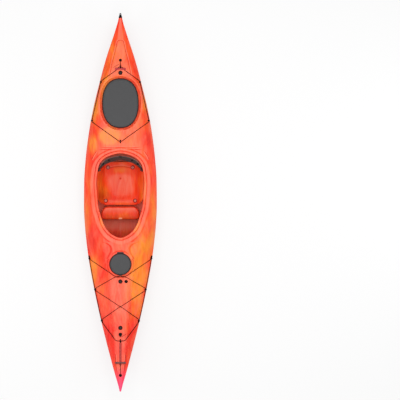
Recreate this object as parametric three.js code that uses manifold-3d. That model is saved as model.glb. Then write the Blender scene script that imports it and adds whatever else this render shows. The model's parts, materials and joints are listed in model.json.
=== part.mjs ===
// Sea kayak for day touring, moulded in one piece of polyethylene, with its deck fittings,
// cockpit outfit and bulkheads. Millimetres, +Z up. The bow points along -Y and the stern along +Y.
// The origin is under the middle of the kayak, at the level of the lowest part of the keel.
import * as THREE from "three";
import { mergeVertices } from "three/addons/utils/BufferGeometryUtils.js";
import Module from "manifold-3d";

const wasm = await Module();
wasm.setup();

// Driving dimensions of the hull
const overallLength = 3785;
const halfBeam = 364.5;
const hullDepth = 393;
const wall = 5;
const keelStripHalfWidth = 15;
const sternReach = 48;
const seatingGap = 0.3;
const overrun = 4;
const weldTolerance = 0.0001;
// The stern fitting stands out behind the hull
const hullLength = overallLength - sternReach;
const bowY = -overallLength / 2;
const sternY = bowY + hullLength;

// The hull's form: each pair is a place as a share of the hull's length, and a share of its size
const beamShares = [
  [0, 0.018], [0.015, 0.055], [0.0471, 0.151], [0.0953, 0.284], [0.1595, 0.453], [0.2237, 0.609],
  [0.2879, 0.746], [0.3522, 0.864], [0.4003, 0.93], [0.4485, 0.977], [0.4967, 1], [0.5609, 0.995],
  [0.6251, 0.951], [0.6893, 0.87], [0.7536, 0.753], [0.8178, 0.595], [0.882, 0.421], [0.9302, 0.263],
  [0.9623, 0.154], [0.9944, 0.058], [1, 0.047],
];
const keelShares = [
  [0, 0.931], [0.0076, 0.842], [0.0237, 0.641], [0.0397, 0.461], [0.0558, 0.313], [0.0718, 0.201],
  [0.0879, 0.125], [0.104, 0.097], [0.12, 0.076], [0.1521, 0.053], [0.2324, 0.023], [0.3127, 0],
  [0.5696, 0], [0.6338, 0.02], [0.698, 0.028], [0.7623, 0.048], [0.8265, 0.059], [0.8907, 0.079],
  [0.9389, 0.104], [0.9549, 0.115], [0.9656, 0.153], [0.971, 0.216], [0.987, 0.443], [0.9964, 0.56],
  [1, 0.567],
];
const sheerShares = [
  [0, 0.952], [0.01, 0.944], [0.0502, 0.906], [0.1037, 0.741], [0.1706, 0.664], [0.2375, 0.613],
  [0.3713, 0.562], [0.5051, 0.512], [0.6389, 0.512], [0.7727, 0.575], [0.853, 0.613], [0.9333, 0.664],
  [0.9868, 0.715], [1, 0.718],
];
const deckShares = [
  [0, 0.967], [0.0237, 0.964], [0.104, 0.97], [0.1842, 0.964], [0.2164, 0.99], [0.2645, 0.997],
  [0.3448, 0.995], [0.3769, 1], [0.393, 0.98], [0.4063, 0.944], [0.4358, 0.88], [0.4732, 0.845],
  [0.5185, 0.791], [0.5452, 0.756], [0.6, 0.748], [0.6362, 0.776], [0.6657, 0.814], [0.6817, 0.822],
  [0.774, 0.819], [0.8502, 0.812], [0.8797, 0.804], [0.9252, 0.779], [0.96, 0.756], [1, 0.746],
];
// The chine, as shares of the half beam and of the height from keel to sheer
const chineOutShares = [
  [0, 0.5], [0.1, 0.56], [0.22, 0.72], [0.35, 0.85], [0.6, 0.88], [0.8, 0.8], [0.93, 0.6], [1, 0.6],
];
const chineUpShares = [
  [0, 0.5], [0.12, 0.36], [0.35, 0.28], [0.65, 0.27], [0.85, 0.3], [0.95, 0.4], [1, 0.4],
];
// The deck's shoulder, as shares of the half beam and of the height from sheer to deck
const shoulderOutShares = [
  [0, 0.55], [0.1, 0.5], [0.25, 0.45], [0.345, 0.52], [0.39, 0.68], [0.43, 0.8], [0.7, 0.8],
  [0.77, 0.83], [0.85, 0.75], [0.9, 0.5], [1, 0.5],
];
const shoulderUpShares = [
  [0, 0.8], [0.345, 0.8], [0.43, 0.93], [0.65, 0.93], [0.77, 0.9], [0.9, 0.82], [1, 0.8],
];
const bottomRoundShare = 0.55;
const bottomPlaceShares = [0.36, 0.7];
const sideBulgeShares = [[0.64, 0.52]];
const deckSideShares = [[0.72, 0.38], [0.36, 0.72]];
const plateauEdgeShare = 0.86;
const plateauEdgeRiseShare = 0.7;
const plateauMiddleShare = 0.45;
const plateauMiddleRiseShare = 0.95;
const stationCount = 40;
const endCrowdingShare = 0.5;
const cornerLimitShare = 0.5;

// The hollow stops short of the solid ends
const hollowFromShare = 0.04;
const hollowToShare = 0.951;

// Places along the kayak follow the hull's length, and heights on the deck follow its depth
const alongHull = (share) => bowY + hullLength * share;
const hullShareAt = (y) => (y - bowY) / hullLength;
const deckHeight = (y) => hullDepth * smooth(deckShares, hullShareAt(y));

// Cockpit and its coaming
const cockpitMiddleShare = 0.524485;
const cockpitLength = 845;
const cockpitHalfWidth = 239;
const cockpitFront = alongHull(cockpitMiddleShare) - cockpitLength / 2;
const cockpitRear = cockpitFront + cockpitLength;
const cockpitShares = [
  [0, 0], [0.027, 0.28], [0.083, 0.527], [0.167, 0.711], [0.251, 0.808], [0.365, 0.925], [0.49, 0.967],
  [0.65, 1], [0.78, 0.958], [0.855, 0.9], [0.912, 0.774], [0.958, 0.56], [1, 0],
];
const lipTopShares = [
  [-0.03, 0.998], [0.06, 0.982], [0.13, 0.964], [0.27, 0.919], [0.415, 0.885], [0.56, 0.865],
  [0.7, 0.847], [0.84, 0.842], [0.98, 0.85], [1.05, 0.85],
];
const coaming = { lip: 22, thick: 6, drop: 11, points: 46 };
const deckCutShare = 0.62;
const searchBand = 40;

// Hatches: half sizes across and along, the flat pan around the cover, and the rim that it grips
const rearHatchShare = 0.771742;
const rearHatchSizes = {
  halfX: 182.5, halfY: 247.5, power: 2.3, points: 32,
  pan: 20, panRise: -24.91, rim: 14, rimIn: 12, rimHeight: 19, coverHeight: 8,
};
const foredeckNeck = 263.5;
const frontHatchSizes = {
  halfX: 110.5, halfY: 110.5, power: 2, points: 28,
  pan: 15, panRise: 0.96, rim: 11, rimIn: 10, rimHeight: 8, coverHeight: 10,
};
const rearHatch = hatchAt(alongHull(rearHatchShare), rearHatchSizes);
const frontHatch = hatchAt(cockpitFront - foredeckNeck, frontHatchSizes);
const cover = {
  edge: 5, seam: 16, crown: 2.5,
  tabLength: 11, tabHalfWidth: 34, tabThick: 6, noseHalfWidth: 20, noseLength: 4,
};
const pod = { depth: 150, wall: 3, drop: 8, taper: 12 };

// Bulkheads of closed-cell foam
const bulkhead = { thick: 40, beforeHatch: 241.5, behindCockpit: 30 };

// Seat and its bolts
const seatSetback = 87;
const seatLength = 430;
const seatRear = cockpitRear - seatSetback;
const seatFront = seatRear - seatLength;
const seatWingShare = 0.43766;
const seatWingZ = hullDepth * seatWingShare;
const seat = {
  halfWidth: 234, halfFront: 151, corner: 60, panZ: 74, panHalfWidth: 170, dish: 8, wall: 5, frontRise: 16,
  legHalfWidth: 12, legX: 96, drain: 9, drainShare: 0.38, columns: 8, rows: 9,
};
const seatBolt = {
  head: 20, headHeight: 5, shank: 4, shankLength: 12, crown: 2, headSides: 12, shankSides: 8,
};
const rearSeatBolt = { x: 123, inset: 54.5 };
const frontSeatBolt = { x: 146.5, inset: 43.5 };

// Leg rest, with the tab on it
const legRest = {
  gap: 14.5, length: 129, halfWidth: 190, rearHalfWidth: 151, chamfer: 45, top: 132, wall: 4,
};
const legRestRear = seatFront - legRest.gap;
const legRestFront = legRestRear - legRest.length;
const legTab = { inset: 10, halfX: 17.5, halfY: 7.5, power: 4, points: 20, thick: 5 };

// Backrest
const backrest = {
  setback: 30, above: 8.95, height: 132, armHeight: 30, thick: 30, armThick: 12, lean: 27,
  corner: 12, cornerMostShare: 0.8, crown: 1.5, clearance: 5, finePoints: 276, keep: 6,
};
const pivot = {
  beforeSeatRear: 82, drop: 20.12, radius: 4, head: 9, headHeight: 3, reachIn: 10, reachOut: 3,
  hole: 48, sides: 16,
};
const pivotY = seatRear - pivot.beforeSeatRear;
const pivotZ = lipTop(pivotY) - pivot.drop;

// Foot braces
const rail = { gap: 60, length: 330, height: 34, thick: 12, slot: 9, slotDepth: 6, boss: 30, clearance: 4 };
const railHeightShare = 0.42748;
const railFrom = frontHatch.y - bulkhead.beforeHatch + bulkhead.thick + rail.gap;
const railTo = railFrom + rail.length;
const railZ = hullDepth * railHeightShare;
const peg = { place: 35, width: 44, reach: 86, height: 96, thick: 9, clearance: 0.6 };

// Deck fittings
const guide = { length: 30, height: 13, width: 12, tunnel: 15, tunnelHeight: 9.5, round: 6, sink: 4 };
// Places as shares of the half beam there and of the hull's length
const foreGuideShares = [[0.95005, 0.189724], [0.95736, 0.273214], [0.96653, 0.356971]];
const aftGuideShares = [[0.95183, 0.724913], [0.93201, 0.828204]];
const padEye = { length: 36, height: 13, width: 12, tunnel: 17, tunnelHeight: 9.5, round: 6, sink: 3 };
const anchor = { radius: 15, height: 4, post: 4.5, postHeight: 11, topShare: 0.8 };
const plug = {
  flange: 21, flangeHeight: 3.5, bore: 14.5, cap: 13.8, capHeight: 7, stemInset: 2,
  grip: 2.2, gripHalf: 9, neckWall: 3, neckDepth: 12,
};
const button = { x: 57, radius: 17, height: 5, dome: 2, topShare: 0.7 };
const knob = { radius: 17.5, height: 12, nose: 9, topShare: 0.7, sides: 12 };
const toggle = { halfLength: 56, radius: 9, waist: 6.5, waistHalf: 18, above: 17, endShare: 0.7, sides: 12 };
const fittingSides = 14;
// The bow's fittings lie at shares of the hull's length, the others at distances from their
// neighbours, and the aft pad eye between the cockpit and the rear hatch
const bowAnchorShare = 0.04335;
const bowToggleShare = 0.077067;
const bowPadEyeShare = 0.135403;
const knobShare = 0.153064;
const bowPlugShare = 0.170458;
const forePlugBeforeHatch = 173;
const aftPadEyeShare = 0.50641;
const sternPlugBehindHatch = 304;
const sternToggleBehindHatch = 343;
const sternPadEyeBehindHatch = 365;
const sternAnchorBehindHatch = 430;
const knobY = alongHull(knobShare);
const rearPanFront = rearHatch.y - rearHatch.halfY - rearHatch.pan;
const padEyePlaces = {
  bow: alongHull(bowPadEyeShare),
  aft: cockpitRear + (rearPanFront - cockpitRear) * aftPadEyeShare,
  stern: rearHatch.y + sternPadEyeBehindHatch,
};
const anchorPlaces = { bow: alongHull(bowAnchorShare), stern: rearHatch.y + sternAnchorBehindHatch };
const togglePlaces = { bow: alongHull(bowToggleShare), stern: rearHatch.y + sternToggleBehindHatch };
const plugPlaces = {
  bow: alongHull(bowPlugShare),
  fore: frontHatch.y - forePlugBeforeHatch,
  stern: rearHatch.y + sternPlugBehindHatch,
};

// Cords
const line = { radius: 3, sides: 8, lift: 0.9, clearance: 0.5, step: 48, rise: 6, aside: 42, ahead: 13.5 };
const bungee = { radius: 2.5, sides: 8, lift: 0.9, clearance: 0.5, step: 40 };
const crossing = { wide: 60, near: 118, far: 131, slant: 18 };
const foreCrossingShare = 0.227188;
const keeper = { strand: 9, turn: 16, gap: 1, cornerShare: 0.7 };
const toggleCord = { radius: 1.6, sides: 8 };
const clearPlaceShares = [0, 0.12, 0.25, 0.38, 0.5, 0.62, 0.75, 0.88, 1];
const clearRounds = 8;

// Stern fitting for a rudder
const gudgeon = {
  rise: 2, height: 74, plate: 5, hook: 6, hookThick: 4, halfWidth: 17, blockRise: 1.5, blockHeight: 39,
  tipHalfWidth: 6, pin: 3, pinIn: 14, screw: 4, screwHeight: 2,
};

// Solids
function solid(geometry) {
  const bare = geometry.index ? geometry.toNonIndexed() : geometry.clone();
  bare.deleteAttribute("normal");
  bare.deleteAttribute("uv");
  const merged = mergeVertices(bare, weldTolerance);
  const vertProperties = new Float32Array(merged.attributes.position.array);
  const triVerts = new Uint32Array(merged.index.array);
  const make = () => new wasm.Manifold(new wasm.Mesh({ numProp: 3, vertProperties, triVerts }));
  const made = make();
  if (made.volume() > 0) return made;
  for (let i = 0; i < triVerts.length; i += 3) {
    [triVerts[i + 1], triVerts[i + 2]] = [triVerts[i + 2], triVerts[i + 1]];
  }
  return make();
}

function geometryOf(made) {
  const mesh = made.getMesh();
  const geometry = new THREE.BufferGeometry();
  geometry.setAttribute("position", new THREE.BufferAttribute(new Float32Array(mesh.vertProperties), 3));
  geometry.setIndex([...mesh.triVerts]);
  geometry.computeVertexNormals();
  return geometry;
}

// A value read from a table of pairs, on a smooth curve that never overshoots them
function smooth(table, at) {
  const last = table.length - 1;
  const x = THREE.MathUtils.clamp(at, table[0][0], table[last][0]);
  let i = 0;
  while (i < last - 1 && x > table[i + 1][0]) i++;
  const slope = (k) => (table[k + 1][1] - table[k][1]) / (table[k + 1][0] - table[k][0]);
  const tangent = (k) => {
    if (k === 0) return slope(0);
    if (k === last) return slope(last - 1);
    const before = slope(k - 1);
    const after = slope(k);
    return before * after > 0 ? (2 * before * after) / (before + after) : 0;
  };
  const span = table[i + 1][0] - table[i][0];
  const t = (x - table[i][0]) / span;
  const rise = t * t * (3 - 2 * t);
  const early = t * (1 - t) * (1 - t) * span * tangent(i);
  const late = t * t * (t - 1) * span * tangent(i + 1);
  return table[i][1] * (1 - rise) + table[i + 1][1] * rise + early + late;
}

// A closed body through rings of the same number of points
function loft(rings, closed = false) {
  const count = rings[0].length;
  const points = rings.flat();
  const faces = [];
  const spans = closed ? rings.length : rings.length - 1;
  for (let r = 0; r < spans; r++) {
    const next = (r + 1) % rings.length;
    for (let i = 0; i < count; i++) {
      const j = (i + 1) % count;
      const [a, b, c, d] = [r * count + i, r * count + j, next * count + j, next * count + i];
      // The second half is split the other way, so that a symmetric ring gives a symmetric body
      if (i < count / 2) faces.push(a, b, c, a, c, d);
      else faces.push(a, b, d, b, c, d);
    }
  }
  if (!closed) {
    faces.push(...endFace(rings[0], 0, -1));
    faces.push(...endFace(rings.at(-1), points.length - count, 1));
  }
  const geometry = new THREE.BufferGeometry().setFromPoints(points);
  geometry.setIndex(faces);
  return solid(geometry);
}

// The triangles that close a flat end ring, wound with the ring (1) or against it (-1)
function endFace(ring, start, winding) {
  const spread = (axis) => Math.max(...ring.map((p) => p[axis])) - Math.min(...ring.map((p) => p[axis]));
  const [first, second] = ["x", "y", "z"].sort((a, b) => spread(b) - spread(a));
  const flat = ring.map((p) => new THREE.Vector2(p[first], p[second]));
  const ringTurn = Math.sign(THREE.ShapeUtils.area(flat)) * winding;
  return THREE.ShapeUtils.triangulateShape(flat, []).flatMap((corner) => {
    const turn = Math.sign(THREE.ShapeUtils.area(corner.map((k) => flat[k])));
    const [i, j, k] = corner.map((index) => index + start);
    return turn === ringTurn ? [i, j, k] : [i, k, j];
  });
}

// An upright prism of a plan outline
function prism(outline, low, high) {
  const shape = new THREE.Shape(outline.map((p) => new THREE.Vector2(p.x, p.y)));
  const geometry = new THREE.ExtrudeGeometry(shape, { depth: high - low, bevelEnabled: false });
  return solid(geometry.translate(0, 0, low));
}

function box(low, high) {
  const [x, y, z] = [0, 1, 2].map((k) => high[k] - low[k]);
  const geometry = new THREE.BoxGeometry(x, y, z);
  return solid(geometry.translate(low[0] + x / 2, low[1] + y / 2, low[2] + z / 2));
}

// A turned piece about Z, from a profile of [radius, height] pairs
function turned(profile, segments = 20) {
  const points = profile.map(([radius, z]) => new THREE.Vector2(radius, z));
  return solid(new THREE.LatheGeometry(points, segments).rotateX(Math.PI / 2));
}

// A ring turned about Z, from a profile that closes on itself
function turnedRing(profile, segments = 20) {
  return turned([...profile, profile[0]], segments);
}

// An upright rod about its own middle
function rod(radius, length, segments = 16) {
  return solid(new THREE.CylinderGeometry(radius, radius, length, segments).rotateX(Math.PI / 2));
}

function oval(centreY, halfX, halfY, power, count) {
  return Array.from({ length: count }, (_, k) => {
    const angle = (2 * Math.PI * k) / count;
    const across = Math.cos(angle);
    const along = Math.sin(angle);
    return new THREE.Vector2(
      halfX * Math.sign(across) * Math.abs(across) ** (2 / power),
      centreY + halfY * Math.sign(along) * Math.abs(along) ** (2 / power),
    );
  });
}

// The hull's section: half profile from the keel's centre to the deck's centre
function halfSection(y) {
  const at = hullShareAt(y);
  const beam = halfBeam * smooth(beamShares, at);
  const keel = hullDepth * smooth(keelShares, at);
  const sheer = hullDepth * smooth(sheerShares, at);
  const deck = hullDepth * smooth(deckShares, at);
  const chineX = beam * smooth(chineOutShares, at);
  const chineZ = keel + (sheer - keel) * smooth(chineUpShares, at);
  const shoulderX = beam * smooth(shoulderOutShares, at);
  const shoulderZ = sheer + (deck - sheer) * smooth(shoulderUpShares, at);
  const strip = Math.min(keelStripHalfWidth, chineX / 3);
  const bottom = bottomPlaceShares.map((share) => {
    const rise = (1 - bottomRoundShare) * share + bottomRoundShare * share ** 3;
    return [strip + (chineX - strip) * share, keel + (chineZ - keel) * rise];
  });
  const side = sideBulgeShares.map(([out, up]) => [
    chineX + (beam - chineX) * out,
    chineZ + (sheer - chineZ) * up,
  ]);
  const deckSide = deckSideShares.map(([out, up]) => [
    shoulderX + (beam - shoulderX) * out,
    sheer + (shoulderZ - sheer) * up,
  ]);
  return [
    [0, keel],
    [strip, keel],
    ...bottom,
    [chineX, chineZ],
    ...side,
    [beam, sheer],
    ...deckSide,
    [shoulderX, shoulderZ],
    [shoulderX * plateauEdgeShare, shoulderZ + (deck - shoulderZ) * plateauEdgeRiseShare],
    [shoulderX * plateauMiddleShare, shoulderZ + (deck - shoulderZ) * plateauMiddleRiseShare],
    [0, deck],
  ];
}

// The whole ring of the section, moved inwards by an inset
function sectionRing(y, inset) {
  const half = halfSection(y);
  const ring = [...half, ...half.slice(1, -1).reverse().map(([x, z]) => [-x, z])];
  const edgeNormal = (a, b) => new THREE.Vector2(b[1] - a[1], a[0] - b[0]).normalize();
  return ring.map((point, k) => {
    const before = edgeNormal(ring.at(k - 1), point);
    const after = edgeNormal(point, ring[(k + 1) % ring.length]);
    const middle = before.clone().add(after).normalize();
    const reach = inset / Math.max(middle.dot(before), cornerLimitShare);
    return new THREE.Vector3(point[0] - middle.x * reach, y, point[1] - middle.y * reach);
  });
}

function hullLoft(inset, fromShare, toShare) {
  const rings = [];
  for (let k = 0; k <= stationCount; k++) {
    const even = k / stationCount;
    const crowded = (1 - Math.cos(Math.PI * even)) / 2;
    const share = even * (1 - endCrowdingShare) + crowded * endCrowdingShare;
    if (share >= fromShare && share <= toShare) rings.push(sectionRing(alongHull(share), inset));
  }
  return loft(rings);
}

const outerForm = hullLoft(0, 0, 1);
const hollow = hullLoft(wall, hollowFromShare, hollowToShare);
const clearSpace = hullLoft(wall + seatingGap, hollowFromShare, hollowToShare);
// The outer skin grown by the seating gap, which trims what stands on the deck
const grownSkin = hullLoft(-seatingGap, 0, 1);

// The cockpit's outline, rounder at the rear than at the front
function cockpitLoop() {
  const right = cockpitShares.map(([along, out]) => [
    out * cockpitHalfWidth,
    cockpitFront + along * cockpitLength,
  ]);
  const left = right.slice(1, -1).reverse().map(([x, y]) => [-x, y]);
  return new THREE.CatmullRomCurve3([...right, ...left].map(([x, y]) => new THREE.Vector3(x, y, 0)), true);
}
const cockpitCurve = cockpitLoop();
const cockpitEdge = cockpitCurve.getSpacedPoints(coaming.points).slice(0, -1);

function lipTop(y) {
  return hullDepth * smooth(lipTopShares, (y - cockpitFront) / cockpitLength);
}

// Height of a solid's highest face at a place in plan, or of the sheer beyond its edge
function looker(made) {
  const { vertProperties, triVerts } = made.getMesh();
  const corner = (k) => new THREE.Vector3().fromArray(vertProperties, 3 * k);
  const bands = new Map();
  for (let i = 0; i < triVerts.length; i += 3) {
    const face = new THREE.Triangle(...[0, 1, 2].map((k) => corner(triVerts[i + k])));
    if (face.getNormal(new THREE.Vector3()).z <= 0) continue;
    const along = [face.a.y, face.b.y, face.c.y];
    const last = Math.floor(Math.max(...along) / searchBand);
    for (let band = Math.floor(Math.min(...along) / searchBand); band <= last; band++) {
      if (!bands.has(band)) bands.set(band, []);
      bands.get(band).push(face);
    }
  }
  return (x, y) => {
    let height = -Infinity;
    for (const { a, b, c } of bands.get(Math.floor(y / searchBand)) ?? []) {
      const area = (b.x - a.x) * (c.y - a.y) - (c.x - a.x) * (b.y - a.y);
      const v = ((x - a.x) * (c.y - a.y) - (c.x - a.x) * (y - a.y)) / area;
      const w = ((b.x - a.x) * (y - a.y) - (x - a.x) * (b.y - a.y)) / area;
      if (v >= 0 && w >= 0 && v + w <= 1) height = Math.max(height, a.z + v * (b.z - a.z) + w * (c.z - a.z));
    }
    return height > 0 ? height : hullDepth * smooth(sheerShares, hullShareAt(y));
  };
}
const bareDeck = looker(outerForm);

function coamingRing() {
  const count = cockpitEdge.length;
  const rings = cockpitEdge.map((point, k) => {
    const before = cockpitEdge[(k + count - 1) % count];
    const after = cockpitEdge[(k + 1) % count];
    const out = new THREE.Vector2(after.y - before.y, before.x - after.x).normalize();
    const top = lipTop(point.y);
    const foot = bareDeck(point.x + out.x * wall, point.y + out.y * wall) - wall / 2;
    const drop = Math.min(coaming.drop, (top - foot) / 2);
    const profile = [
      [-overrun, top],
      [coaming.lip, top],
      [coaming.lip, top - drop],
      [coaming.lip - coaming.thick / 2, top - drop],
      [coaming.lip - coaming.thick / 2, top - coaming.thick],
      [coaming.thick, top - coaming.thick],
      [coaming.thick, foot],
      [-overrun, foot],
    ];
    return profile.map(([across, z]) => {
      return new THREE.Vector3(point.x + out.x * across, point.y + out.y * across, z);
    });
  });
  return loft(rings, true);
}

// A hatch in its place: its pan's height follows the deck, and the rim and cover stand on that
function hatchAt(y, sizes) {
  const panZ = deckHeight(y) + sizes.panRise;
  const rimTop = panZ + sizes.rimHeight;
  return { ...sizes, y, panZ, rimTop, coverTop: rimTop + sizes.coverHeight };
}

function hatchOutline(hatch, grow) {
  return oval(hatch.y, hatch.halfX + grow, hatch.halfY + grow, hatch.power, hatch.points);
}

function makeHull() {
  const rear = rearHatch;
  const front = frontHatch;
  const high = 2 * hullDepth;
  let form = outerForm.add(coamingRing());
  let inside = hollow;
  // The rear hatch lies in a flat pan sunk into the deck
  form = form.subtract(prism(hatchOutline(rear, rear.pan), rear.panZ, high));
  form = form.add(prism(hatchOutline(rear, -rear.rim), rear.panZ - wall, rear.rimTop));
  inside = inside.subtract(prism(hatchOutline(rear, rear.pan + wall), rear.panZ - wall, high));
  // The front hatch stands on a flat round pad
  form = form.subtract(prism(hatchOutline(front, front.pan + wall), front.panZ, high));
  form = form.add(prism(hatchOutline(front, front.pan), front.panZ - 3 * wall, front.panZ));
  form = form.add(prism(hatchOutline(front, -front.rim), front.panZ - wall, front.rimTop));
  for (const hatch of [rear, front]) {
    inside = inside.add(prism(hatchOutline(hatch, -hatch.rim - hatch.rimIn), hatch.panZ - 5 * wall, high));
  }
  const well = prism(cockpitEdge, hullDepth * deckCutShare, high);
  return form.subtract(inside).subtract(well);
}
const hullSolid = makeHull();
const deckAt = looker(hullSolid);

function mirrored(made) {
  return solid(geometryOf(made).scale(-1, 1, 1));
}

// Where the hull's inner side is, at a place along the kayak and a height
function insideHalfWidth(y, z) {
  const bothSides = new THREE.MeshStandardMaterial({ side: THREE.DoubleSide });
  const mesh = new THREE.Mesh(geometryOf(clearSpace), bothSides);
  const ray = new THREE.Raycaster(new THREE.Vector3(0, y, z), new THREE.Vector3(1, 0, 0));
  return ray.intersectObject(mesh)[0].point.x;
}

// The deck's direction upwards at a place, from its heights close by
function deckNormal(x, y) {
  const reach = line.radius;
  const across = deckAt(x + reach, y) - deckAt(x - reach, y);
  const along = deckAt(x, y + reach) - deckAt(x, y - reach);
  return new THREE.Vector3(-across, -along, 2 * reach).normalize();
}

// The matrix that stands a piece on the deck, its own Y turned towards a heading in plan
function onDeck(x, y, heading = new THREE.Vector3(0, 1, 0)) {
  const up = deckNormal(x, y);
  const along = heading.clone().addScaledVector(up, -heading.dot(up)).normalize();
  const across = new THREE.Vector3().crossVectors(along, up);
  const matrix = new THREE.Matrix4().makeBasis(across, along, up);
  return matrix.setPosition(x, y, deckAt(x, y));
}

function placed(made, matrix) {
  return solid(geometryOf(made).applyMatrix4(matrix));
}

function seated(made, matrix) {
  return placed(made, matrix).subtract(grownSkin);
}

// Bulkheads
function makeBulkhead(y) {
  const beyond = halfBeam + overrun;
  return box([-beyond, y, -overrun], [beyond, y + bulkhead.thick, hullDepth + overrun]).intersect(clearSpace);
}

// Hatch covers: a rubber lid with a raised rim, a seam and a low crown, hollow underneath
function makeCover(hatch, inside) {
  const top = hatch.coverTop - cover.crown;
  const rounds = [
    [0, hatch.panZ + seatingGap],
    [0, top - cover.edge],
    [-cover.edge / 3, top - cover.edge / 3],
    [-cover.edge, top],
    [-cover.seam, top],
    [-cover.seam - cover.crown, top - cover.crown / 2],
    [-cover.seam - 2 * cover.crown, top],
    [-hatch.halfX / 2, hatch.coverTop],
  ];
  const rings = rounds.map(([grow, z]) =>
    hatchOutline(hatch, grow).map((p) => new THREE.Vector3(p.x, p.y, z)));
  const room = prism(hatchOutline(hatch, -hatch.rim + seatingGap), hatch.panZ - overrun, inside);
  return loft(rings).subtract(room);
}

function makeFrontCover() {
  const hatch = frontHatch;
  const tabLow = hatch.panZ + seatingGap;
  const rear = hatch.y + hatch.halfY;
  const fore = hatch.y - hatch.halfY;
  const tabHigh = tabLow + cover.tabThick;
  const tabEnds = [rear - cover.seam / 2, rear + cover.tabLength];
  const noseEnds = [fore - cover.noseLength, fore + cover.seam / 2];
  const tab = box([-cover.tabHalfWidth, tabEnds[0], tabLow], [cover.tabHalfWidth, tabEnds[1], tabHigh]);
  const nose = box([-cover.noseHalfWidth, noseEnds[0], tabLow], [cover.noseHalfWidth, noseEnds[1], tabHigh]);
  return makeCover(hatch, podTop + seatingGap).add(tab).add(nose);
}

// The tub that hangs in the front hatch, its flange lying on the rim
const podTop = frontHatch.rimTop + seatingGap + pod.wall;
function makePod() {
  const mouth = frontHatch.halfX - frontHatch.rim - frontHatch.rimIn - 1.5 * pod.wall;
  const flange = frontHatch.halfX - frontHatch.rim - pod.wall;
  const floor = podTop - pod.depth;
  const foot = mouth - pod.taper;
  const profile = [
    [0, floor],
    [foot - pod.drop, floor],
    [foot, floor + pod.drop],
    [mouth, podTop - pod.wall],
    [flange, podTop - pod.wall],
    [flange, podTop],
    [mouth - pod.wall, podTop],
    [foot - pod.wall, floor + pod.drop],
    [foot - pod.drop, floor + pod.wall],
    [0, floor + pod.wall],
  ];
  return turned(profile, frontHatch.points).translate(0, frontHatch.y, 0);
}

// Seat: a moulded pan with side wings and a raised front, on two moulded skids
function seatHalfWidth(y) {
  const corner = (depth, size) => {
    const t = THREE.MathUtils.clamp(1 - depth / size, 0, 1);
    return Math.sqrt(1 - t * t);
  };
  const rear = seat.halfWidth - seat.corner * (1 - corner(seatRear - y, seat.corner));
  const narrow = seat.halfWidth - seat.halfFront;
  const front = seat.halfWidth - narrow * (1 - corner(y - seatFront, narrow));
  return Math.min(rear, front);
}

function seatHeight(x, y) {
  const end = Math.abs((y - (seatRear + seatFront) / 2) / (seatLength / 2)) ** 4;
  const wing = THREE.MathUtils.smoothstep(Math.abs(x), seat.panHalfWidth, seat.halfWidth);
  const dish = seat.dish * (1 - (Math.min(Math.abs(x), seat.panHalfWidth) / seat.panHalfWidth) ** 2);
  return seat.panZ - dish + seat.frontRise * end + (seatWingZ - seat.panZ) * wing;
}

function makeSeat() {
  const rings = [];
  for (let row = 0; row <= seat.rows; row++) {
    const share = (1 - Math.cos((Math.PI * row) / seat.rows)) / 2;
    const y = seatFront + seatLength * share;
    const half = seatHalfWidth(y);
    const upper = [];
    for (let column = -seat.columns; column <= seat.columns; column++) {
      const x = (half * column) / seat.columns;
      upper.push(new THREE.Vector3(x, y, seatHeight(x, y)));
    }
    const lower = upper.map((p) => new THREE.Vector3(p.x, y, p.z - seat.wall)).reverse();
    rings.push([...upper, ...lower]);
  }
  let made = loft(rings);
  const skidTop = seatHeight(seat.legX, (seatRear + seatFront) / 2) - seat.wall / 2;
  for (const side of [-1, 1]) {
    const middle = side * seat.legX;
    const low = [middle - seat.legHalfWidth, seatFront + seat.corner, 0];
    made = made.add(box(low, [middle + seat.legHalfWidth, seatRear - seat.corner, skidTop]));
  }
  for (const { x, y } of seatBoltSpots()) {
    const low = seatHeight(x, y) - seat.wall / 2;
    const high = bossTop(x, y);
    const boss = rod(seatBolt.head + 2 * seatBolt.crown, high - low, seatBolt.headSides);
    const recess = rod(seatBolt.head + seatBolt.crown, seatWingZ, seatBolt.headSides);
    const hole = rod(seatBolt.shank + 2 * seatingGap, 4 * seatBolt.shankLength, seatBolt.shankSides);
    made = made.add(boss.translate(x, y, (low + high) / 2));
    made = made.subtract(recess.translate(x, y, high + seatWingZ / 2));
    made = made.subtract(hole.translate(x, y, high));
  }
  const drainY = seatRear - seatLength * seat.drainShare;
  const drain = rod(seat.drain, 4 * seat.wall).translate(0, drainY, seat.panZ - seat.dish);
  return made.subtract(drain).intersect(clearSpace);
}

function seatBoltSpots() {
  const places = [
    ["rear", rearSeatBolt.x, seatRear - rearSeatBolt.inset],
    ["front", frontSeatBolt.x, seatFront + frontSeatBolt.inset],
  ];
  return places.flatMap(([place, x, y]) => [
    { name: `seat_bolt_${place}_left`, x: -x, y },
    { name: `seat_bolt_${place}_right`, x, y },
  ]);
}

// A boss is level with the highest part of the seat under the bolt's head
function bossTop(x, y) {
  const out = Math.sign(x) * seatBolt.head;
  const around = [[0, 0], [out, 0], [0, seatBolt.head], [0, -seatBolt.head]];
  return Math.max(...around.map(([dx, dy]) => seatHeight(x + dx, y + dy)));
}

function makeSeatBolt({ x, y }) {
  const base = bossTop(x, y) + seatingGap;
  const profile = [
    [0, -seatBolt.shankLength],
    [seatBolt.shank, -seatBolt.shankLength],
    [seatBolt.shank, 0],
    [seatBolt.head, 0],
    [seatBolt.head, seatBolt.headHeight / 2],
    [seatBolt.head / 2, seatBolt.headHeight],
    [0, seatBolt.headHeight],
  ];
  return turned(profile, seatBolt.headSides).translate(x, y, base);
}

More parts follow.
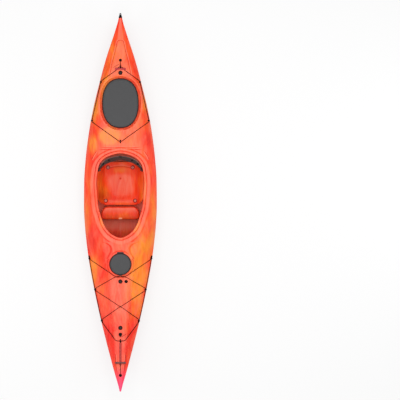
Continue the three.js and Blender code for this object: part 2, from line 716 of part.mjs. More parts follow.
// Leg rest: a moulded step in front of the seat, open underneath
function makeLegRest() {
  const outline = (inset) => {
    const rear = legRestRear - inset;
    const front = legRestFront + inset;
    const wide = legRest.halfWidth - inset;
    const narrow = legRest.rearHalfWidth - inset / 2;
    const right = [[wide, front], [wide, rear - legRest.chamfer], [narrow, rear]];
    return [...right, ...right.map(([x, y]) => [-x, y]).reverse()].map(([x, y]) => ({ x, y }));
  };
  const body = loft([
    outline(0).map((p) => new THREE.Vector3(p.x, p.y, 0)),
    outline(0).map((p) => new THREE.Vector3(p.x, p.y, legRest.top - legRest.wall)),
    outline(legRest.wall).map((p) => new THREE.Vector3(p.x, p.y, legRest.top)),
  ]);
  const room = prism(outline(legRest.wall), -overrun, legRest.top - legRest.wall);
  return body.subtract(room).intersect(clearSpace);
}

function makeLegTab() {
  const low = legRest.top + seatingGap;
  const profile = oval(legRestFront + legTab.inset, legTab.halfX, legTab.halfY, legTab.power, legTab.points);
  return prism(profile, low, low + legTab.thick);
}

// Backrest: a padded band round the rear of the cockpit, on two arms
const pivotX = (() => {
  const along = (pivotY - cockpitFront) / cockpitLength;
  const edge = cockpitHalfWidth * smooth(cockpitShares, along);
  return { edge, arm: edge - backrest.armThick / 2 - backrest.clearance };
})();

function makeBackrest() {
  const start = pivotY - backrest.armHeight / 2;
  const fine = cockpitCurve.getSpacedPoints(backrest.finePoints).filter((p) => p.y > start);
  const path = fine.filter((_, k) => k % backrest.keep === 0 || k === fine.length - 1);
  // Ahead of the pivot the arms run straight, so that their ends clear the coaming as they turn
  for (const point of path) point.x = THREE.MathUtils.clamp(point.x, -pivotX.edge, pivotX.edge);
  const highest = lipTop(cockpitRear) + backrest.above;
  const rings = path.map((point, k) => {
    const before = path[Math.max(k - 1, 0)];
    const after = path[Math.min(k + 1, path.length - 1)];
    const out = new THREE.Vector2(after.y - before.y, before.x - after.x).normalize();
    const share = THREE.MathUtils.clamp((point.y - pivotY) / (cockpitRear - pivotY), 0, 1);
    const grown = THREE.MathUtils.smoothstep(share, 0, 1);
    const thick = backrest.armThick + (backrest.thick - backrest.armThick) * share;
    const height = backrest.armHeight + (backrest.height - backrest.armHeight) * grown;
    const top = pivotZ + backrest.armHeight / 2;
    const high = top + (highest - top) * grown;
    const inset = thick / 2 + backrest.clearance * (1 - share) + (backrest.setback - thick / 2) * share;
    return bandSection(thick, height, backrest.lean * grown).map(([across, up]) => {
      const reach = across - inset;
      return new THREE.Vector3(point.x + out.x * reach, point.y + out.y * reach, high + up);
    });
  });
  let made = loft(rings);
  for (const side of [-1, 1]) {
    made = made.subtract(pivotRod(pivot.radius + seatingGap, 6 * backrest.armThick, side * pivotX.arm));
  }
  return made;
}

// Section of the band from its top: across outwards, and up
function bandSection(thick, height, lean) {
  const half = thick / 2 - backrest.crown;
  const corner = Math.min(backrest.corner, half * backrest.cornerMostShare, height / 3);
  const outline = [
    [-half + corner, 0],
    [half - corner, 0],
    [half, -corner],
    [half + backrest.crown, -height / 2],
    [half, corner - height],
    [half - corner, -height],
    [corner - half, -height],
    [-half, corner - height],
    [-half - backrest.crown, -height / 2],
    [-half, -corner],
  ];
  return outline.map(([across, up]) => [across + (lean * up) / height, up]);
}

function pivotRod(radius, length, x) {
  const geometry = new THREE.CylinderGeometry(radius, radius, length, pivot.sides).rotateZ(Math.PI / 2);
  return solid(geometry.translate(x, pivotY, pivotZ));
}

function makePivotBolt(side) {
  const inner = pivotX.arm - backrest.armThick / 2 - pivot.reachIn;
  const outer = pivotX.edge + wall + pivot.reachOut;
  const ends = [inner - pivot.headHeight, outer + pivot.headHeight];
  let made = pivotRod(pivot.radius, ends[1] - ends[0], (ends[0] + ends[1]) / 2);
  made = made.add(pivotRod(pivot.head, pivot.headHeight, inner - pivot.headHeight / 2));
  made = made.add(pivotRod(pivot.head, pivot.headHeight, outer + pivot.headHeight / 2));
  return side > 0 ? made : mirrored(made);
}

// Foot braces: a slotted rail screwed to bosses on the hull's side, and a sliding footpad
const railFrame = (() => {
  const fore = insideHalfWidth(railFrom, railZ);
  const aft = insideHalfWidth(railTo, railZ);
  const angle = Math.atan2(aft - fore, rail.length);
  return { angle, length: rail.length / Math.cos(angle), middleX: (fore + aft) / 2 - rail.clearance };
})();

function railPlace(geometryMade) {
  const middleY = (railFrom + railTo) / 2;
  const matrix = new THREE.Matrix4().makeRotationZ(-railFrame.angle);
  matrix.setPosition(railFrame.middleX, middleY, railZ);
  return solid(geometryOf(geometryMade).applyMatrix4(matrix));
}

function makeRail() {
  const half = railFrame.length / 2;
  const high = rail.height / 2;
  const slotEnd = half - rail.boss;
  const slotLow = [-rail.thick - overrun, -slotEnd, -rail.slot / 2];
  let made = box([-rail.thick, -half, -high], [0, half, high]);
  made = made.subtract(box(slotLow, [rail.slotDepth - rail.thick, slotEnd, rail.slot / 2]));
  for (const end of [-1, 1]) {
    const fore = end * (half - rail.boss / 2) - rail.boss / 2;
    made = made.add(box([-rail.thick / 2, fore, -high], [rail.boss, fore + rail.boss, high]));
  }
  return railPlace(made).intersect(clearSpace);
}

function makePeg() {
  const half = peg.width / 2;
  const fore = peg.place - half;
  const aft = peg.place + half;
  const face = -rail.thick - seatingGap;
  const low = rail.slot / 2 - peg.clearance;
  const depth = rail.slotDepth - rail.thick - peg.clearance;
  const runner = box([face - overrun, fore, -low], [depth, aft, low]);
  const plate = box([face - peg.thick, fore, -rail.height / 2], [face, aft, rail.height / 2]);
  const outline = [
    [0, fore],
    [-peg.reach, fore],
    [-peg.reach, fore + peg.thick],
    [-peg.thick, fore + 2 * peg.thick],
    [-peg.thick, aft],
    [0, aft],
  ];
  const arm = prism(outline.map(([x, y]) => ({ x: face + x, y })), -peg.height / 2, peg.height / 2);
  return railPlace(runner.add(plate).add(arm));
}

// Deck fittings
function arch(size) {
  const half = size.length / 2;
  const tunnel = size.tunnel / 2;
  const foot = size.height - size.tunnelHeight;
  const shape = new THREE.Shape();
  shape.moveTo(-half, -size.sink);
  shape.lineTo(-tunnel, -size.sink);
  shape.lineTo(-tunnel, size.tunnelHeight - size.round / 2);
  shape.quadraticCurveTo(-tunnel, size.tunnelHeight, -tunnel + size.round / 2, size.tunnelHeight);
  shape.lineTo(tunnel - size.round / 2, size.tunnelHeight);
  shape.quadraticCurveTo(tunnel, size.tunnelHeight, tunnel, size.tunnelHeight - size.round / 2);
  shape.lineTo(tunnel, -size.sink);
  shape.lineTo(half, -size.sink);
  shape.lineTo(half, foot);
  shape.quadraticCurveTo(tunnel + foot / 2, foot, tunnel, size.height - size.round / 3);
  shape.quadraticCurveTo(tunnel, size.height, tunnel - size.round / 2, size.height);
  shape.lineTo(-tunnel + size.round / 2, size.height);
  shape.quadraticCurveTo(-tunnel, size.height, -tunnel, size.height - size.round / 3);
  shape.quadraticCurveTo(-tunnel - foot / 2, foot, -half, foot);
  const depth = size.width;
  const geometry = new THREE.ExtrudeGeometry(shape, { depth, bevelEnabled: false, curveSegments: 1 });
  return solid(geometry.translate(0, 0, -depth / 2).rotateX(Math.PI / 2));
}

function makeAnchor(y) {
  const profile = [
    [0, seatingGap],
    [anchor.radius, seatingGap],
    [anchor.radius, anchor.height / 2],
    [anchor.radius * anchor.topShare, anchor.height],
    [anchor.post, anchor.height],
    [anchor.post, anchor.postHeight],
    [0, anchor.postHeight],
  ];
  return placed(turned(profile, fittingSides), onDeck(0, y));
}

function makePlugSeat(y) {
  const neck = plug.bore + plug.neckWall;
  const profile = [
    [plug.bore, -plug.neckDepth],
    [neck, -plug.neckDepth],
    [neck, seatingGap],
    [plug.flange, seatingGap],
    [plug.flange, plug.flangeHeight],
    [plug.bore, plug.flangeHeight],
  ];
  return placed(turnedRing(profile, fittingSides), onDeck(0, y));
}

// The hole for a plug's seat, with a flat face cut round it for the flange
function plugHole(y) {
  const hole = rod(plug.bore + plug.neckWall + seatingGap, 8 * plug.neckDepth, fittingSides);
  const face = rod(plug.flange + seatingGap, plug.neckDepth, fittingSides);
  return placed(hole.add(face.translate(0, 0, plug.neckDepth / 2)), onDeck(0, y));
}

function makePlug(y) {
  const top = plug.flangeHeight + plug.capHeight;
  const profile = [
    [0, -plug.neckDepth / 2],
    [plug.cap, -plug.neckDepth / 2],
    [plug.cap, plug.flangeHeight + seatingGap],
    [plug.flange - plug.stemInset, plug.flangeHeight + seatingGap],
    [plug.flange - plug.stemInset, top - plug.grip],
    [plug.flange - 2 * plug.stemInset, top],
    [0, top],
  ];
  const bar = box([-plug.gripHalf, -plug.grip, top - plug.grip], [plug.gripHalf, plug.grip, top + plug.grip]);
  return placed(turned(profile, fittingSides).add(bar), onDeck(0, y));
}

function makeButton() {
  const profile = [
    [0, seatingGap],
    [button.radius, seatingGap],
    [button.radius, button.height - button.dome],
    [button.radius * button.topShare, button.height],
    [0, button.height],
  ];
  return placed(turned(profile, fittingSides), onDeck(button.x, plugPlaces.fore));
}

function makeKnob() {
  const outline = [];
  for (let k = 0; k <= knob.sides; k++) {
    const angle = (Math.PI * k) / knob.sides;
    outline.push(new THREE.Vector2(knob.radius * Math.cos(angle), knob.radius * Math.sin(angle)));
  }
  outline.push(new THREE.Vector2(0, -knob.radius - knob.nose));
  const level = (z, share) => outline.map((p) => new THREE.Vector3(p.x * share, p.y * share, z));
  const half = knob.height / 2;
  const made = loft([level(-half, 1), level(half, 1), level(knob.height, knob.topShare)]);
  return seated(made, onDeck(0, knobY));
}

function makeToggle(y) {
  const half = toggle.halfLength;
  const right = [
    [toggle.waist, toggle.waistHalf],
    [toggle.radius, 2 * toggle.waistHalf],
    [toggle.radius, half - toggle.radius / 2],
    [toggle.radius * toggle.endShare, half - toggle.radius / 6],
  ];
  const profile = [[0, -half], ...right.map(([r, x]) => [r, -x]).reverse(), ...right, [0, half]];
  const made = solid(geometryOf(turned(profile, toggle.sides)).rotateY(Math.PI / 2));
  return made.translate(0, y, deckAt(0, y) + toggle.above);
}

// Cords laid over the deck: a route's point is [x, y, height of its underside above the deck],
// or a point in space where the cord passes a fitting
function drape(route, cord) {
  const points = [];
  const plan = route.map((p) => (p.isVector3 ? [p.x, p.y, 0] : p));
  for (let k = 0; k < route.length; k++) {
    const [x, y, lift] = plan[k];
    const last = k === route.length - 1;
    const [nextX, nextY, nextLift] = last ? plan[k] : plan[k + 1];
    const parts = last ? 1 : Math.max(1, Math.round(Math.hypot(nextX - x, nextY - y) / cord.step));
    for (let part = 0; part < parts; part++) {
      const t = part / parts;
      const fixed = part === 0 && route[k].isVector3;
      const at = () => above(x + (nextX - x) * t, y + (nextY - y) * t, cord, lift + (nextLift - lift) * t);
      points.push({ at: fixed ? route[k].clone() : at(), fixed });
    }
  }
  return clearOfDeck(points, cord);
}

function above(x, y, cord, lift) {
  const place = new THREE.Vector3(x, y, deckAt(x, y));
  return place.addScaledVector(deckNormal(x, y), cord.radius + cord.lift + lift);
}

// Lifts the free ends of each straight step until the whole step clears the deck
function clearOfDeck(points, cord) {
  for (let round = 0; round < clearRounds; round++) {
    for (let k = 0; k < points.length - 1; k++) {
      const ends = [points[k], points[k + 1]];
      for (const share of clearPlaceShares) {
        const place = ends[0].at.clone().lerp(ends[1].at, share);
        const normal = deckNormal(place.x, place.y);
        const clear = (place.z - deckAt(place.x, place.y)) * normal.z - cord.radius - cord.clearance;
        const free = clear < 0 ? ends.filter((end) => !end.fixed) : [];
        free.forEach((end) => end.at.addScaledVector(normal, -clear));
      }
    }
  }
  return points.map((point) => point.at);
}

// A path of straight steps through its points
class Steps extends THREE.Curve {
  constructor(points) {
    super();
    this.points = points;
  }
  getPoint(t) {
    const place = t * (this.points.length - 1);
    const k = Math.min(Math.floor(place), this.points.length - 2);
    return this.points[k].clone().lerp(this.points[k + 1], place - k);
  }
  getPointAt(t) {
    return this.getPoint(t);
  }
  getTangentAt(t) {
    const half = 1 / (this.points.length - 1) / 2;
    const ahead = this.getPoint(Math.min(t + half, 1));
    return ahead.sub(this.getPoint(Math.max(t - half, 0))).normalize();
  }
}

function tube(points, cord) {
  const section = new THREE.Shape();
  for (let k = 0; k < cord.sides; k++) {
    const angle = (2 * Math.PI * k) / cord.sides;
    section[k ? "lineTo" : "moveTo"](cord.radius * Math.cos(angle), cord.radius * Math.sin(angle));
  }
  const route = { steps: points.length - 1, extrudePath: new Steps(points), bevelEnabled: false };
  return solid(new THREE.ExtrudeGeometry(section, route));
}

function laid(route, cord) {
  return tube(drape(route, cord), cord);
}

// The way that a line runs at a guide: from the fitting before it to the one after it
function headingAt(places, k) {
  const before = places[k - 1];
  const after = places[k + 1] ?? places[k];
  return new THREE.Vector3(after[0] - before[0], after[1] - before[1], 0).normalize();
}

// Where a cord goes through a guide: before and after its tunnel, beside its middle
function through({ x, y, heading }, cord, aside) {
  const matrix = onDeck(x, y, heading);
  const height = cord.radius + cord.lift;
  return [-1, 1].map((way) => new THREE.Vector3(aside, way * guide.width, height).applyMatrix4(matrix));
}

const onSide = (route, side) =>
  route.map((p) => (p.isVector3 ? new THREE.Vector3(side * p.x, p.y, p.z) : [side * p[0], p[1], p[2]]));
const spots = (places, from, to) =>
  places.map(([x, y], k) => ({ x, y, heading: headingAt([from, ...places, to], k + 1) }));
const guidePlaces = (shares) =>
  shares.map(([outShare, alongShare]) => [
    outShare * halfBeam * smooth(beamShares, alongShare),
    alongHull(alongShare),
  ]);
const foreSpots = spots(guidePlaces(foreGuideShares), [0, padEyePlaces.bow], undefined);
const aftSpots = spots(guidePlaces(aftGuideShares), [0, padEyePlaces.aft], [0, togglePlaces.stern]);
const lineAside = guide.tunnel / 2 - line.radius - seatingGap;
const bungeeAside = bungee.radius + seatingGap - guide.tunnel / 2;

function makeForeDeckLine() {
  const guided = [...foreSpots].reverse().flatMap((spot) => through(spot, line, lineAside).reverse());
  const half = [...guided, [padEye.width, padEyePlaces.bow, 0]];
  return laid([...onSide(half, -1), ...onSide(half, 1).reverse()], line);
}

function makeForeBungee(side) {
  const [fore, middle, aft] = foreSpots.map((spot) => through(spot, bungee, bungeeAside).reverse());
  const hump = side > 0 ? 2 * bungee.radius + bungee.lift : 0;
  const foreCrossing = alongHull(foreCrossingShare);
  const route = [
    ...aft,
    [crossing.wide, frontHatch.y - crossing.near, 0],
    [crossing.wide / 2, frontHatch.y - crossing.near - bungee.radius, hump],
    [-crossing.wide / 2, frontHatch.y - crossing.far + bungee.radius, hump],
    [-crossing.wide, frontHatch.y - crossing.far, 0],
    ...onSide(middle, -1),
    [-crossing.wide / 2, foreCrossing + crossing.slant, hump],
    [crossing.wide / 2, foreCrossing - crossing.slant, hump],
    ...fore,
  ];
  return laid(onSide(route, side), bungee);
}

function makeAftDeckLine() {
  const half = [
    [padEye.width / 2, padEyePlaces.aft, 0],
    [3 * line.rise, padEyePlaces.aft + line.rise, 0],
    ...aftSpots.flatMap((spot) => through(spot, line, 0)),
    [line.aside, togglePlaces.stern - line.ahead, 0],
    [padEye.width, padEyePlaces.stern, 0],
  ];
  return laid([...onSide(half, -1), ...onSide(half, 1).reverse()], line);
}

function makeKeeper() {
  const { strand } = keeper;
  const from = padEyePlaces.bow - padEye.length / 2 - keeper.gap;
  const turn = togglePlaces.bow - keeper.turn;
  const half = [
    [strand, from, 0],
    [strand, turn, 0],
    [strand * keeper.cornerShare, turn - strand * keeper.cornerShare, 0],
  ];
  const route = [...onSide(half, -1), [0, turn - strand, 0], ...onSide(half, 1).reverse()];
  return laid(route, bungee);
}

function makeToggleCord(anchorY, toggleY) {
  const towards = Math.sign(toggleY - anchorY);
  const from = anchorY + towards * (anchor.post + seatingGap);
  const to = toggleY - towards * (toggle.waist + seatingGap);
  const start = new THREE.Vector3(0, from, deckAt(0, anchorY) + anchor.postHeight - toggleCord.radius);
  const end = new THREE.Vector3(0, to, deckAt(0, toggleY) + toggle.above);
  const middle = start.clone().lerp(end, 0.5);
  middle.z = Math.max(start.z, end.z);
  return tube([start, middle, end], toggleCord);
}

// Stern fitting: a plate on the flat stern with a tapered block bored for a rudder's pin
function makeGudgeon() {
  const face = sternY + seatingGap;
  const tip = overallLength / 2;
  const sternKeel = hullDepth * smooth(keelShares, 1);
  const middle = (sternKeel + deckHeight(sternY)) / 2 + gudgeon.rise;
  const low = middle - gudgeon.height / 2;
  const high = middle + gudgeon.height / 2;
  const blockLow = middle + gudgeon.blockRise - gudgeon.blockHeight / 2;
  const blockHigh = blockLow + gudgeon.blockHeight;
  const back = face + gudgeon.plate;
  const half = gudgeon.halfWidth;
  const point = gudgeon.tipHalfWidth;
  const hook = gudgeon.hookThick;
  const outline = [[-half, face], [half, face], [half, back], [point, tip], [-point, tip], [-half, back]];
  let made = box([-half, face, low], [half, back, high]);
  made = made.add(prism(outline.map(([x, y]) => ({ x, y })), blockLow, blockHigh));
  for (const foot of [low, high - hook]) {
    made = made.add(box([-half, face, foot], [half, back + gudgeon.hook, foot + hook]));
  }
  made = made.subtract(rod(gudgeon.pin, 2 * high).translate(0, tip - gudgeon.pinIn, middle));
  for (const z of [(low + blockLow + hook) / 2, (high + blockHigh - hook) / 2]) {
    const screw = rod(gudgeon.screw, 2 * gudgeon.screwHeight).rotate([90, 0, 0]);
    made = made.add(screw.translate(0, back, z));
  }
  return made;
}

// Materials
const finish = (color, roughness, metalness = 0) =>
  new THREE.MeshStandardMaterial({ color, roughness, metalness });
const polyethylene = finish("#e8542f", 0.45);
const rubber = finish("#5b5b5d", 0.8);
const blackNylon = finish("#1d1c1c", 0.55);
const foam = finish("#3a3a3c", 0.9);
const darkCord = finish("#3b1f1a", 0.85);
const salmon = finish("#f0a58c", 0.6);
const padding = finish("#35302f", 0.9);
const steel = finish("#8c8c8e", 0.3, 1);
const aluminium = finish("#a5a7aa", 0.4, 1);
const bowHandle = finish("#6b4a45", 0.7);
const sternHandle = finish("#a34c48", 0.7);

const kayak = new THREE.Group();
function put(name, made, material) {
  const mesh = new THREE.Mesh(geometryOf(made), material);
  mesh.name = name;
  kayak.add(mesh);
}

let finished = hullSolid;
for (const y of Object.values(plugPlaces)) finished = finished.subtract(plugHole(y));
for (const side of [-1, 1]) {
  finished = finished.subtract(pivotRod(pivot.radius + seatingGap, pivot.hole, side * pivotX.edge));
}
put("hull", finished, polyethylene);
put("bow_bulkhead", makeBulkhead(frontHatch.y - bulkhead.beforeHatch), foam);
put("stern_bulkhead", makeBulkhead(cockpitRear + bulkhead.behindCockpit), foam);
put("rear_hatch_cover", makeCover(rearHatch, rearHatch.rimTop + seatingGap), rubber);
put("front_hatch_cover", makeFrontCover(), rubber);
put("front_hatch_tub", makePod(), blackNylon);
put("seat", makeSeat(), polyethylene);
for (const spot of seatBoltSpots()) put(spot.name, makeSeatBolt(spot), blackNylon);
put("leg_rest", makeLegRest(), polyethylene);
put("leg_rest_tab", makeLegTab(), salmon);
put("backrest", makeBackrest(), padding);
put("backrest_pivot_left", makePivotBolt(-1), steel);
put("backrest_pivot_right", makePivotBolt(1), steel);
const rightRail = makeRail();
const rightPeg = makePeg();
put("foot_rail_right", rightRail, aluminium);
put("foot_rail_left", mirrored(rightRail).intersect(clearSpace), aluminium);
put("foot_peg_right", rightPeg, blackNylon);
put("foot_peg_left", mirrored(rightPeg), blackNylon);
for (const [group, groupSpots] of [["fore", foreSpots], ["aft", aftSpots]]) {
  groupSpots.forEach(({ x, y, heading }, k) => {
    const other = new THREE.Vector3(-heading.x, heading.y, 0);
    put(`${group}_line_guide_right_${k + 1}`, seated(arch(guide), onDeck(x, y, heading)), blackNylon);
    put(`${group}_line_guide_left_${k + 1}`, seated(arch(guide), onDeck(-x, y, other)), blackNylon);
  });
}
const acrossDeck = new THREE.Vector3(1, 0, 0);
for (const [place, y] of Object.entries(padEyePlaces)) {
  put(`${place}_pad_eye`, seated(arch(padEye), onDeck(0, y, acrossDeck)), blackNylon);
}
for (const [place, y] of Object.entries(anchorPlaces)) put(`${place}_cord_anchor`, makeAnchor(y), blackNylon);
for (const [place, y] of Object.entries(plugPlaces)) {
  put(`${place}_plug_seat`, makePlugSeat(y), blackNylon);
  put(`${place}_plug`, makePlug(y), bowHandle);
}
put("deck_button", makeButton(), blackNylon);
put("foredeck_knob", makeKnob(), blackNylon);
put("bow_toggle", makeToggle(togglePlaces.bow), bowHandle);
put("stern_toggle", makeToggle(togglePlaces.stern), sternHandle);
put("bow_toggle_cord", makeToggleCord(anchorPlaces.bow, togglePlaces.bow), darkCord);
put("stern_toggle_cord", makeToggleCord(anchorPlaces.stern, togglePlaces.stern), darkCord);
put("fore_deck_line", makeForeDeckLine(), darkCord);
put("fore_bungee_left", makeForeBungee(-1), darkCord);
put("fore_bungee_right", makeForeBungee(1), darkCord);
put("aft_deck_line", makeAftDeckLine(), darkCord);
put("bow_toggle_keeper", makeKeeper(), darkCord);
put("stern_fitting", makeGudgeon(), blackNylon);

export default kayak;
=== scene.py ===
# Sea kayak for day touring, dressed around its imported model. Millimetres inside the helpers,
# metres in the scene. The bow points along -Y, the stern along +Y, and +Z is up.
import json
import math

import bpy
import numpy as np
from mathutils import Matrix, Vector
from mathutils.bvhtree import BVHTree

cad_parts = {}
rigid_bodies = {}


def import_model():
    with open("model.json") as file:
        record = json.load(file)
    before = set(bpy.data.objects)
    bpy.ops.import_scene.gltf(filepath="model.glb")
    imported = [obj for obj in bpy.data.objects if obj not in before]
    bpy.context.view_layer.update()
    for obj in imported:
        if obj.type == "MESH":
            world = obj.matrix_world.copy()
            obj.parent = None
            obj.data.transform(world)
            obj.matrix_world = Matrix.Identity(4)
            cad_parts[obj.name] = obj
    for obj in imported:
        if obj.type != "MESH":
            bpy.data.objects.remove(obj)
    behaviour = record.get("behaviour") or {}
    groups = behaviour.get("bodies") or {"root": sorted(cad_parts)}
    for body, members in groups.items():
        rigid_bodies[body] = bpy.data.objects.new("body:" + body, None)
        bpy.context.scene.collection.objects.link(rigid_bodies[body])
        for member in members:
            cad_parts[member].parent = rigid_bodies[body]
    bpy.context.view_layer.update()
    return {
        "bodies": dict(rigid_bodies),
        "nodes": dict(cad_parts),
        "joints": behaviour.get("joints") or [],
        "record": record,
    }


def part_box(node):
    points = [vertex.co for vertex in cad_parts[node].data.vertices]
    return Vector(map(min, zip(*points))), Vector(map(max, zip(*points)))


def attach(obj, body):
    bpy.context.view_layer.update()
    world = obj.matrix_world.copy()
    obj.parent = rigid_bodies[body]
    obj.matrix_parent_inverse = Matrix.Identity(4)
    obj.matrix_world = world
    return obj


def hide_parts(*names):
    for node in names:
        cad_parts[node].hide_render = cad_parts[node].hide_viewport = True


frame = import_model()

MM = 0.001

# Camera and light
camera = bpy.data.objects.new("camera", bpy.data.cameras.new("camera"))
bpy.context.collection.objects.link(camera)
camera.data.type = "ORTHO"
camera.data.ortho_scale = 4.0
camera.data.clip_end = 60
camera.location = (0.796, 0.0235, 6)  # so that the kayak stands left of the middle, as in the photograph
bpy.context.scene.camera = camera
bpy.context.scene.view_settings.view_transform = "Standard"


def lamp(name, place, aim, size, watts):
    data = bpy.data.lights.new(name, "AREA")
    data.shape = "RECTANGLE"
    data.size, data.size_y = size
    data.energy = watts
    made = bpy.data.objects.new(name, data)
    made.location = place
    direction = np.array(place) - np.array(aim)
    made.rotation_euler = Vector(direction).to_track_quat("Z", "Y").to_euler()
    bpy.context.collection.objects.link(made)


lamp("top_light", (0.0, 0.2, 4.2), (0, 0, 0.3), (2.6, 5.5), 93)
lamp("left_light", (-3.9, -0.4, 1.6), (0, 0, 0.2), (1.8, 5.0), 52)
lamp("right_light", (4.0, 0.4, 1.4), (0, 0, 0.2), (1.8, 5.0), 50)


# The hull's form, as in the model. The tables pair a place, as a share of the hull's length, with a size there, as
# a share of the half beam, of the depth or of the room between two key heights.
HULL_LENGTH = 3737.0
BOW_Y = -1892.5
HALF_BEAM = 364.5
HULL_DEPTH = 393.0
KEEL_STRIP = 15.0
WALL = 5.0
BEAM = [
    (0, 0.018), (0.015, 0.055), (0.0471, 0.151), (0.0953, 0.284), (0.1595, 0.453), (0.2237, 0.609),
    (0.2879, 0.746), (0.3522, 0.864), (0.4003, 0.93), (0.4485, 0.977), (0.4967, 1), (0.5609, 0.995),
    (0.6251, 0.951), (0.6893, 0.87), (0.7536, 0.753), (0.8178, 0.595), (0.882, 0.421), (0.9302, 0.263),
    (0.9623, 0.154), (0.9944, 0.058), (1, 0.047),
]
KEEL = [
    (0, 0.931), (0.0076, 0.842), (0.0237, 0.641), (0.0397, 0.461), (0.0558, 0.313), (0.0718, 0.201),
    (0.0879, 0.125), (0.104, 0.097), (0.12, 0.076), (0.1521, 0.053), (0.2324, 0.023), (0.3127, 0),
    (0.5696, 0), (0.6338, 0.02), (0.698, 0.028), (0.7623, 0.048), (0.8265, 0.059), (0.8907, 0.079),
    (0.9389, 0.104), (0.9549, 0.115), (0.9656, 0.153), (0.971, 0.216), (0.987, 0.443), (0.9964, 0.56),
    (1, 0.567),
]
SHEER = [
    (0, 0.952), (0.01, 0.944), (0.0502, 0.906), (0.1037, 0.741), (0.1706, 0.664), (0.2375, 0.613),
    (0.3713, 0.562), (0.5051, 0.512), (0.6389, 0.512), (0.7727, 0.575), (0.853, 0.613), (0.9333, 0.664),
    (0.9868, 0.715), (1, 0.718),
]
DECK = [
    (0, 0.967), (0.0237, 0.964), (0.104, 0.97), (0.1842, 0.964), (0.2164, 0.99), (0.2645, 0.997),
    (0.3448, 0.995), (0.3769, 1), (0.393, 0.98), (0.4063, 0.944), (0.4358, 0.88), (0.4732, 0.845),
    (0.5185, 0.791), (0.5452, 0.756), (0.6, 0.748), (0.6362, 0.776), (0.6657, 0.814), (0.6817, 0.822),
    (0.774, 0.819), (0.8502, 0.812), (0.8797, 0.804), (0.9252, 0.779), (0.96, 0.756), (1, 0.746),
]
CHINE_OUT = [(0, 0.5), (0.1, 0.56), (0.22, 0.72), (0.35, 0.85), (0.6, 0.88), (0.8, 0.8), (0.93, 0.6), (1, 0.6)]
CHINE_UP = [(0, 0.5), (0.12, 0.36), (0.35, 0.28), (0.65, 0.27), (0.85, 0.3), (0.95, 0.4), (1, 0.4)]
SHOULDER_OUT = [
    (0, 0.55), (0.1, 0.5), (0.25, 0.45), (0.345, 0.52), (0.39, 0.68), (0.43, 0.8), (0.7, 0.8),
    (0.77, 0.83), (0.85, 0.75), (0.9, 0.5), (1, 0.5),
]
SHOULDER_UP = [(0, 0.8), (0.345, 0.8), (0.43, 0.93), (0.65, 0.93), (0.77, 0.9), (0.9, 0.82), (1, 0.8)]
# How the section runs between its key points
DECK_SIDE = [(0, 0), (0.28, 0.38), (0.64, 0.72), (1, 1)]
PLATEAU = [(0, 1), (0.45, 0.95), (0.86, 0.7), (1, 0)]
SIDE = [(0, 0), (0.52, 0.64), (1, 1)]
BOTTOM_ROUND = 0.55


def smooth(pairs, at):
    """A value read from pairs, on a smooth curve that never overshoots them."""
    xs = np.array([p[0] for p in pairs], float)
    ys = np.array([p[1] for p in pairs], float)
    at = np.clip(np.asarray(at, float), xs[0], xs[-1])
    span = np.diff(xs)
    slope = np.diff(ys) / span
    tangent = np.zeros(len(xs))
    tangent[0], tangent[-1] = slope[0], slope[-1]
    product = slope[:-1] * slope[1:]
    inner = np.where(product > 0, 2 * product / np.where(product > 0, slope[:-1] + slope[1:], 1), 0)
    tangent[1:-1] = inner
    i = np.clip(np.searchsorted(xs, at, side="right") - 1, 0, len(xs) - 2)
    t = (at - xs[i]) / span[i]
    rise = t * t * (3 - 2 * t)
    early = t * (1 - t) ** 2 * span[i] * tangent[i]
    late = t * t * (t - 1) * span[i] * tangent[i + 1]
    return ys[i] * (1 - rise) + ys[i + 1] * rise + early + late


def station(y):
    """The key sizes of the hull's section at a place along it."""
    at = (np.asarray(y, float) - BOW_Y) / HULL_LENGTH
    beam = HALF_BEAM * smooth(BEAM, at)
    keel = HULL_DEPTH * smooth(KEEL, at)
    sheer = HULL_DEPTH * smooth(SHEER, at)
    deck = HULL_DEPTH * smooth(DECK, at)
    chine_x = beam * smooth(CHINE_OUT, at)
    chine_z = keel + (sheer - keel) * smooth(CHINE_UP, at)
    shoulder_x = beam * smooth(SHOULDER_OUT, at)
    shoulder_z = sheer + (deck - sheer) * smooth(SHOULDER_UP, at)
    return beam, keel, sheer, deck, chine_x, chine_z, shoulder_x, shoulder_z


def deck_z(x, y):
    """Height of the bare deck at a place in plan."""
    beam, _, sheer, deck, _, _, shoulder_x, shoulder_z = station(y)
    out = np.minimum(np.abs(np.asarray(x, float)), beam)
    side = sheer + (shoulder_z - sheer) * smooth(DECK_SIDE, (beam - out) / (beam - shoulder_x))
    top = shoulder_z + (deck - shoulder_z) * smooth(PLATEAU, out / shoulder_x)
    return float(np.where(out > shoulder_x, side, top))


def deck_normal(x, y, reach=3.0):
    across = deck_z(x + reach, y) - deck_z(x - reach, y)
    along = deck_z(x, y + reach) - deck_z(x, y - reach)
    normal = np.array([-across, -along, 2 * reach], float)
    return unit(normal)


def smoothstep(x, low, high):
    t = np.clip((x - low) / (high - low), 0, 1)
    return t * t * (3 - 2 * t)


def bell(x, width):
    return math.exp(-(x / width) ** 2)


def unit(vector):
    return vector / np.linalg.norm(vector)


def units(rows):
    """Each row at a length of 1."""
    return rows / np.maximum(np.linalg.norm(rows, axis=1, keepdims=True), 1e-9)


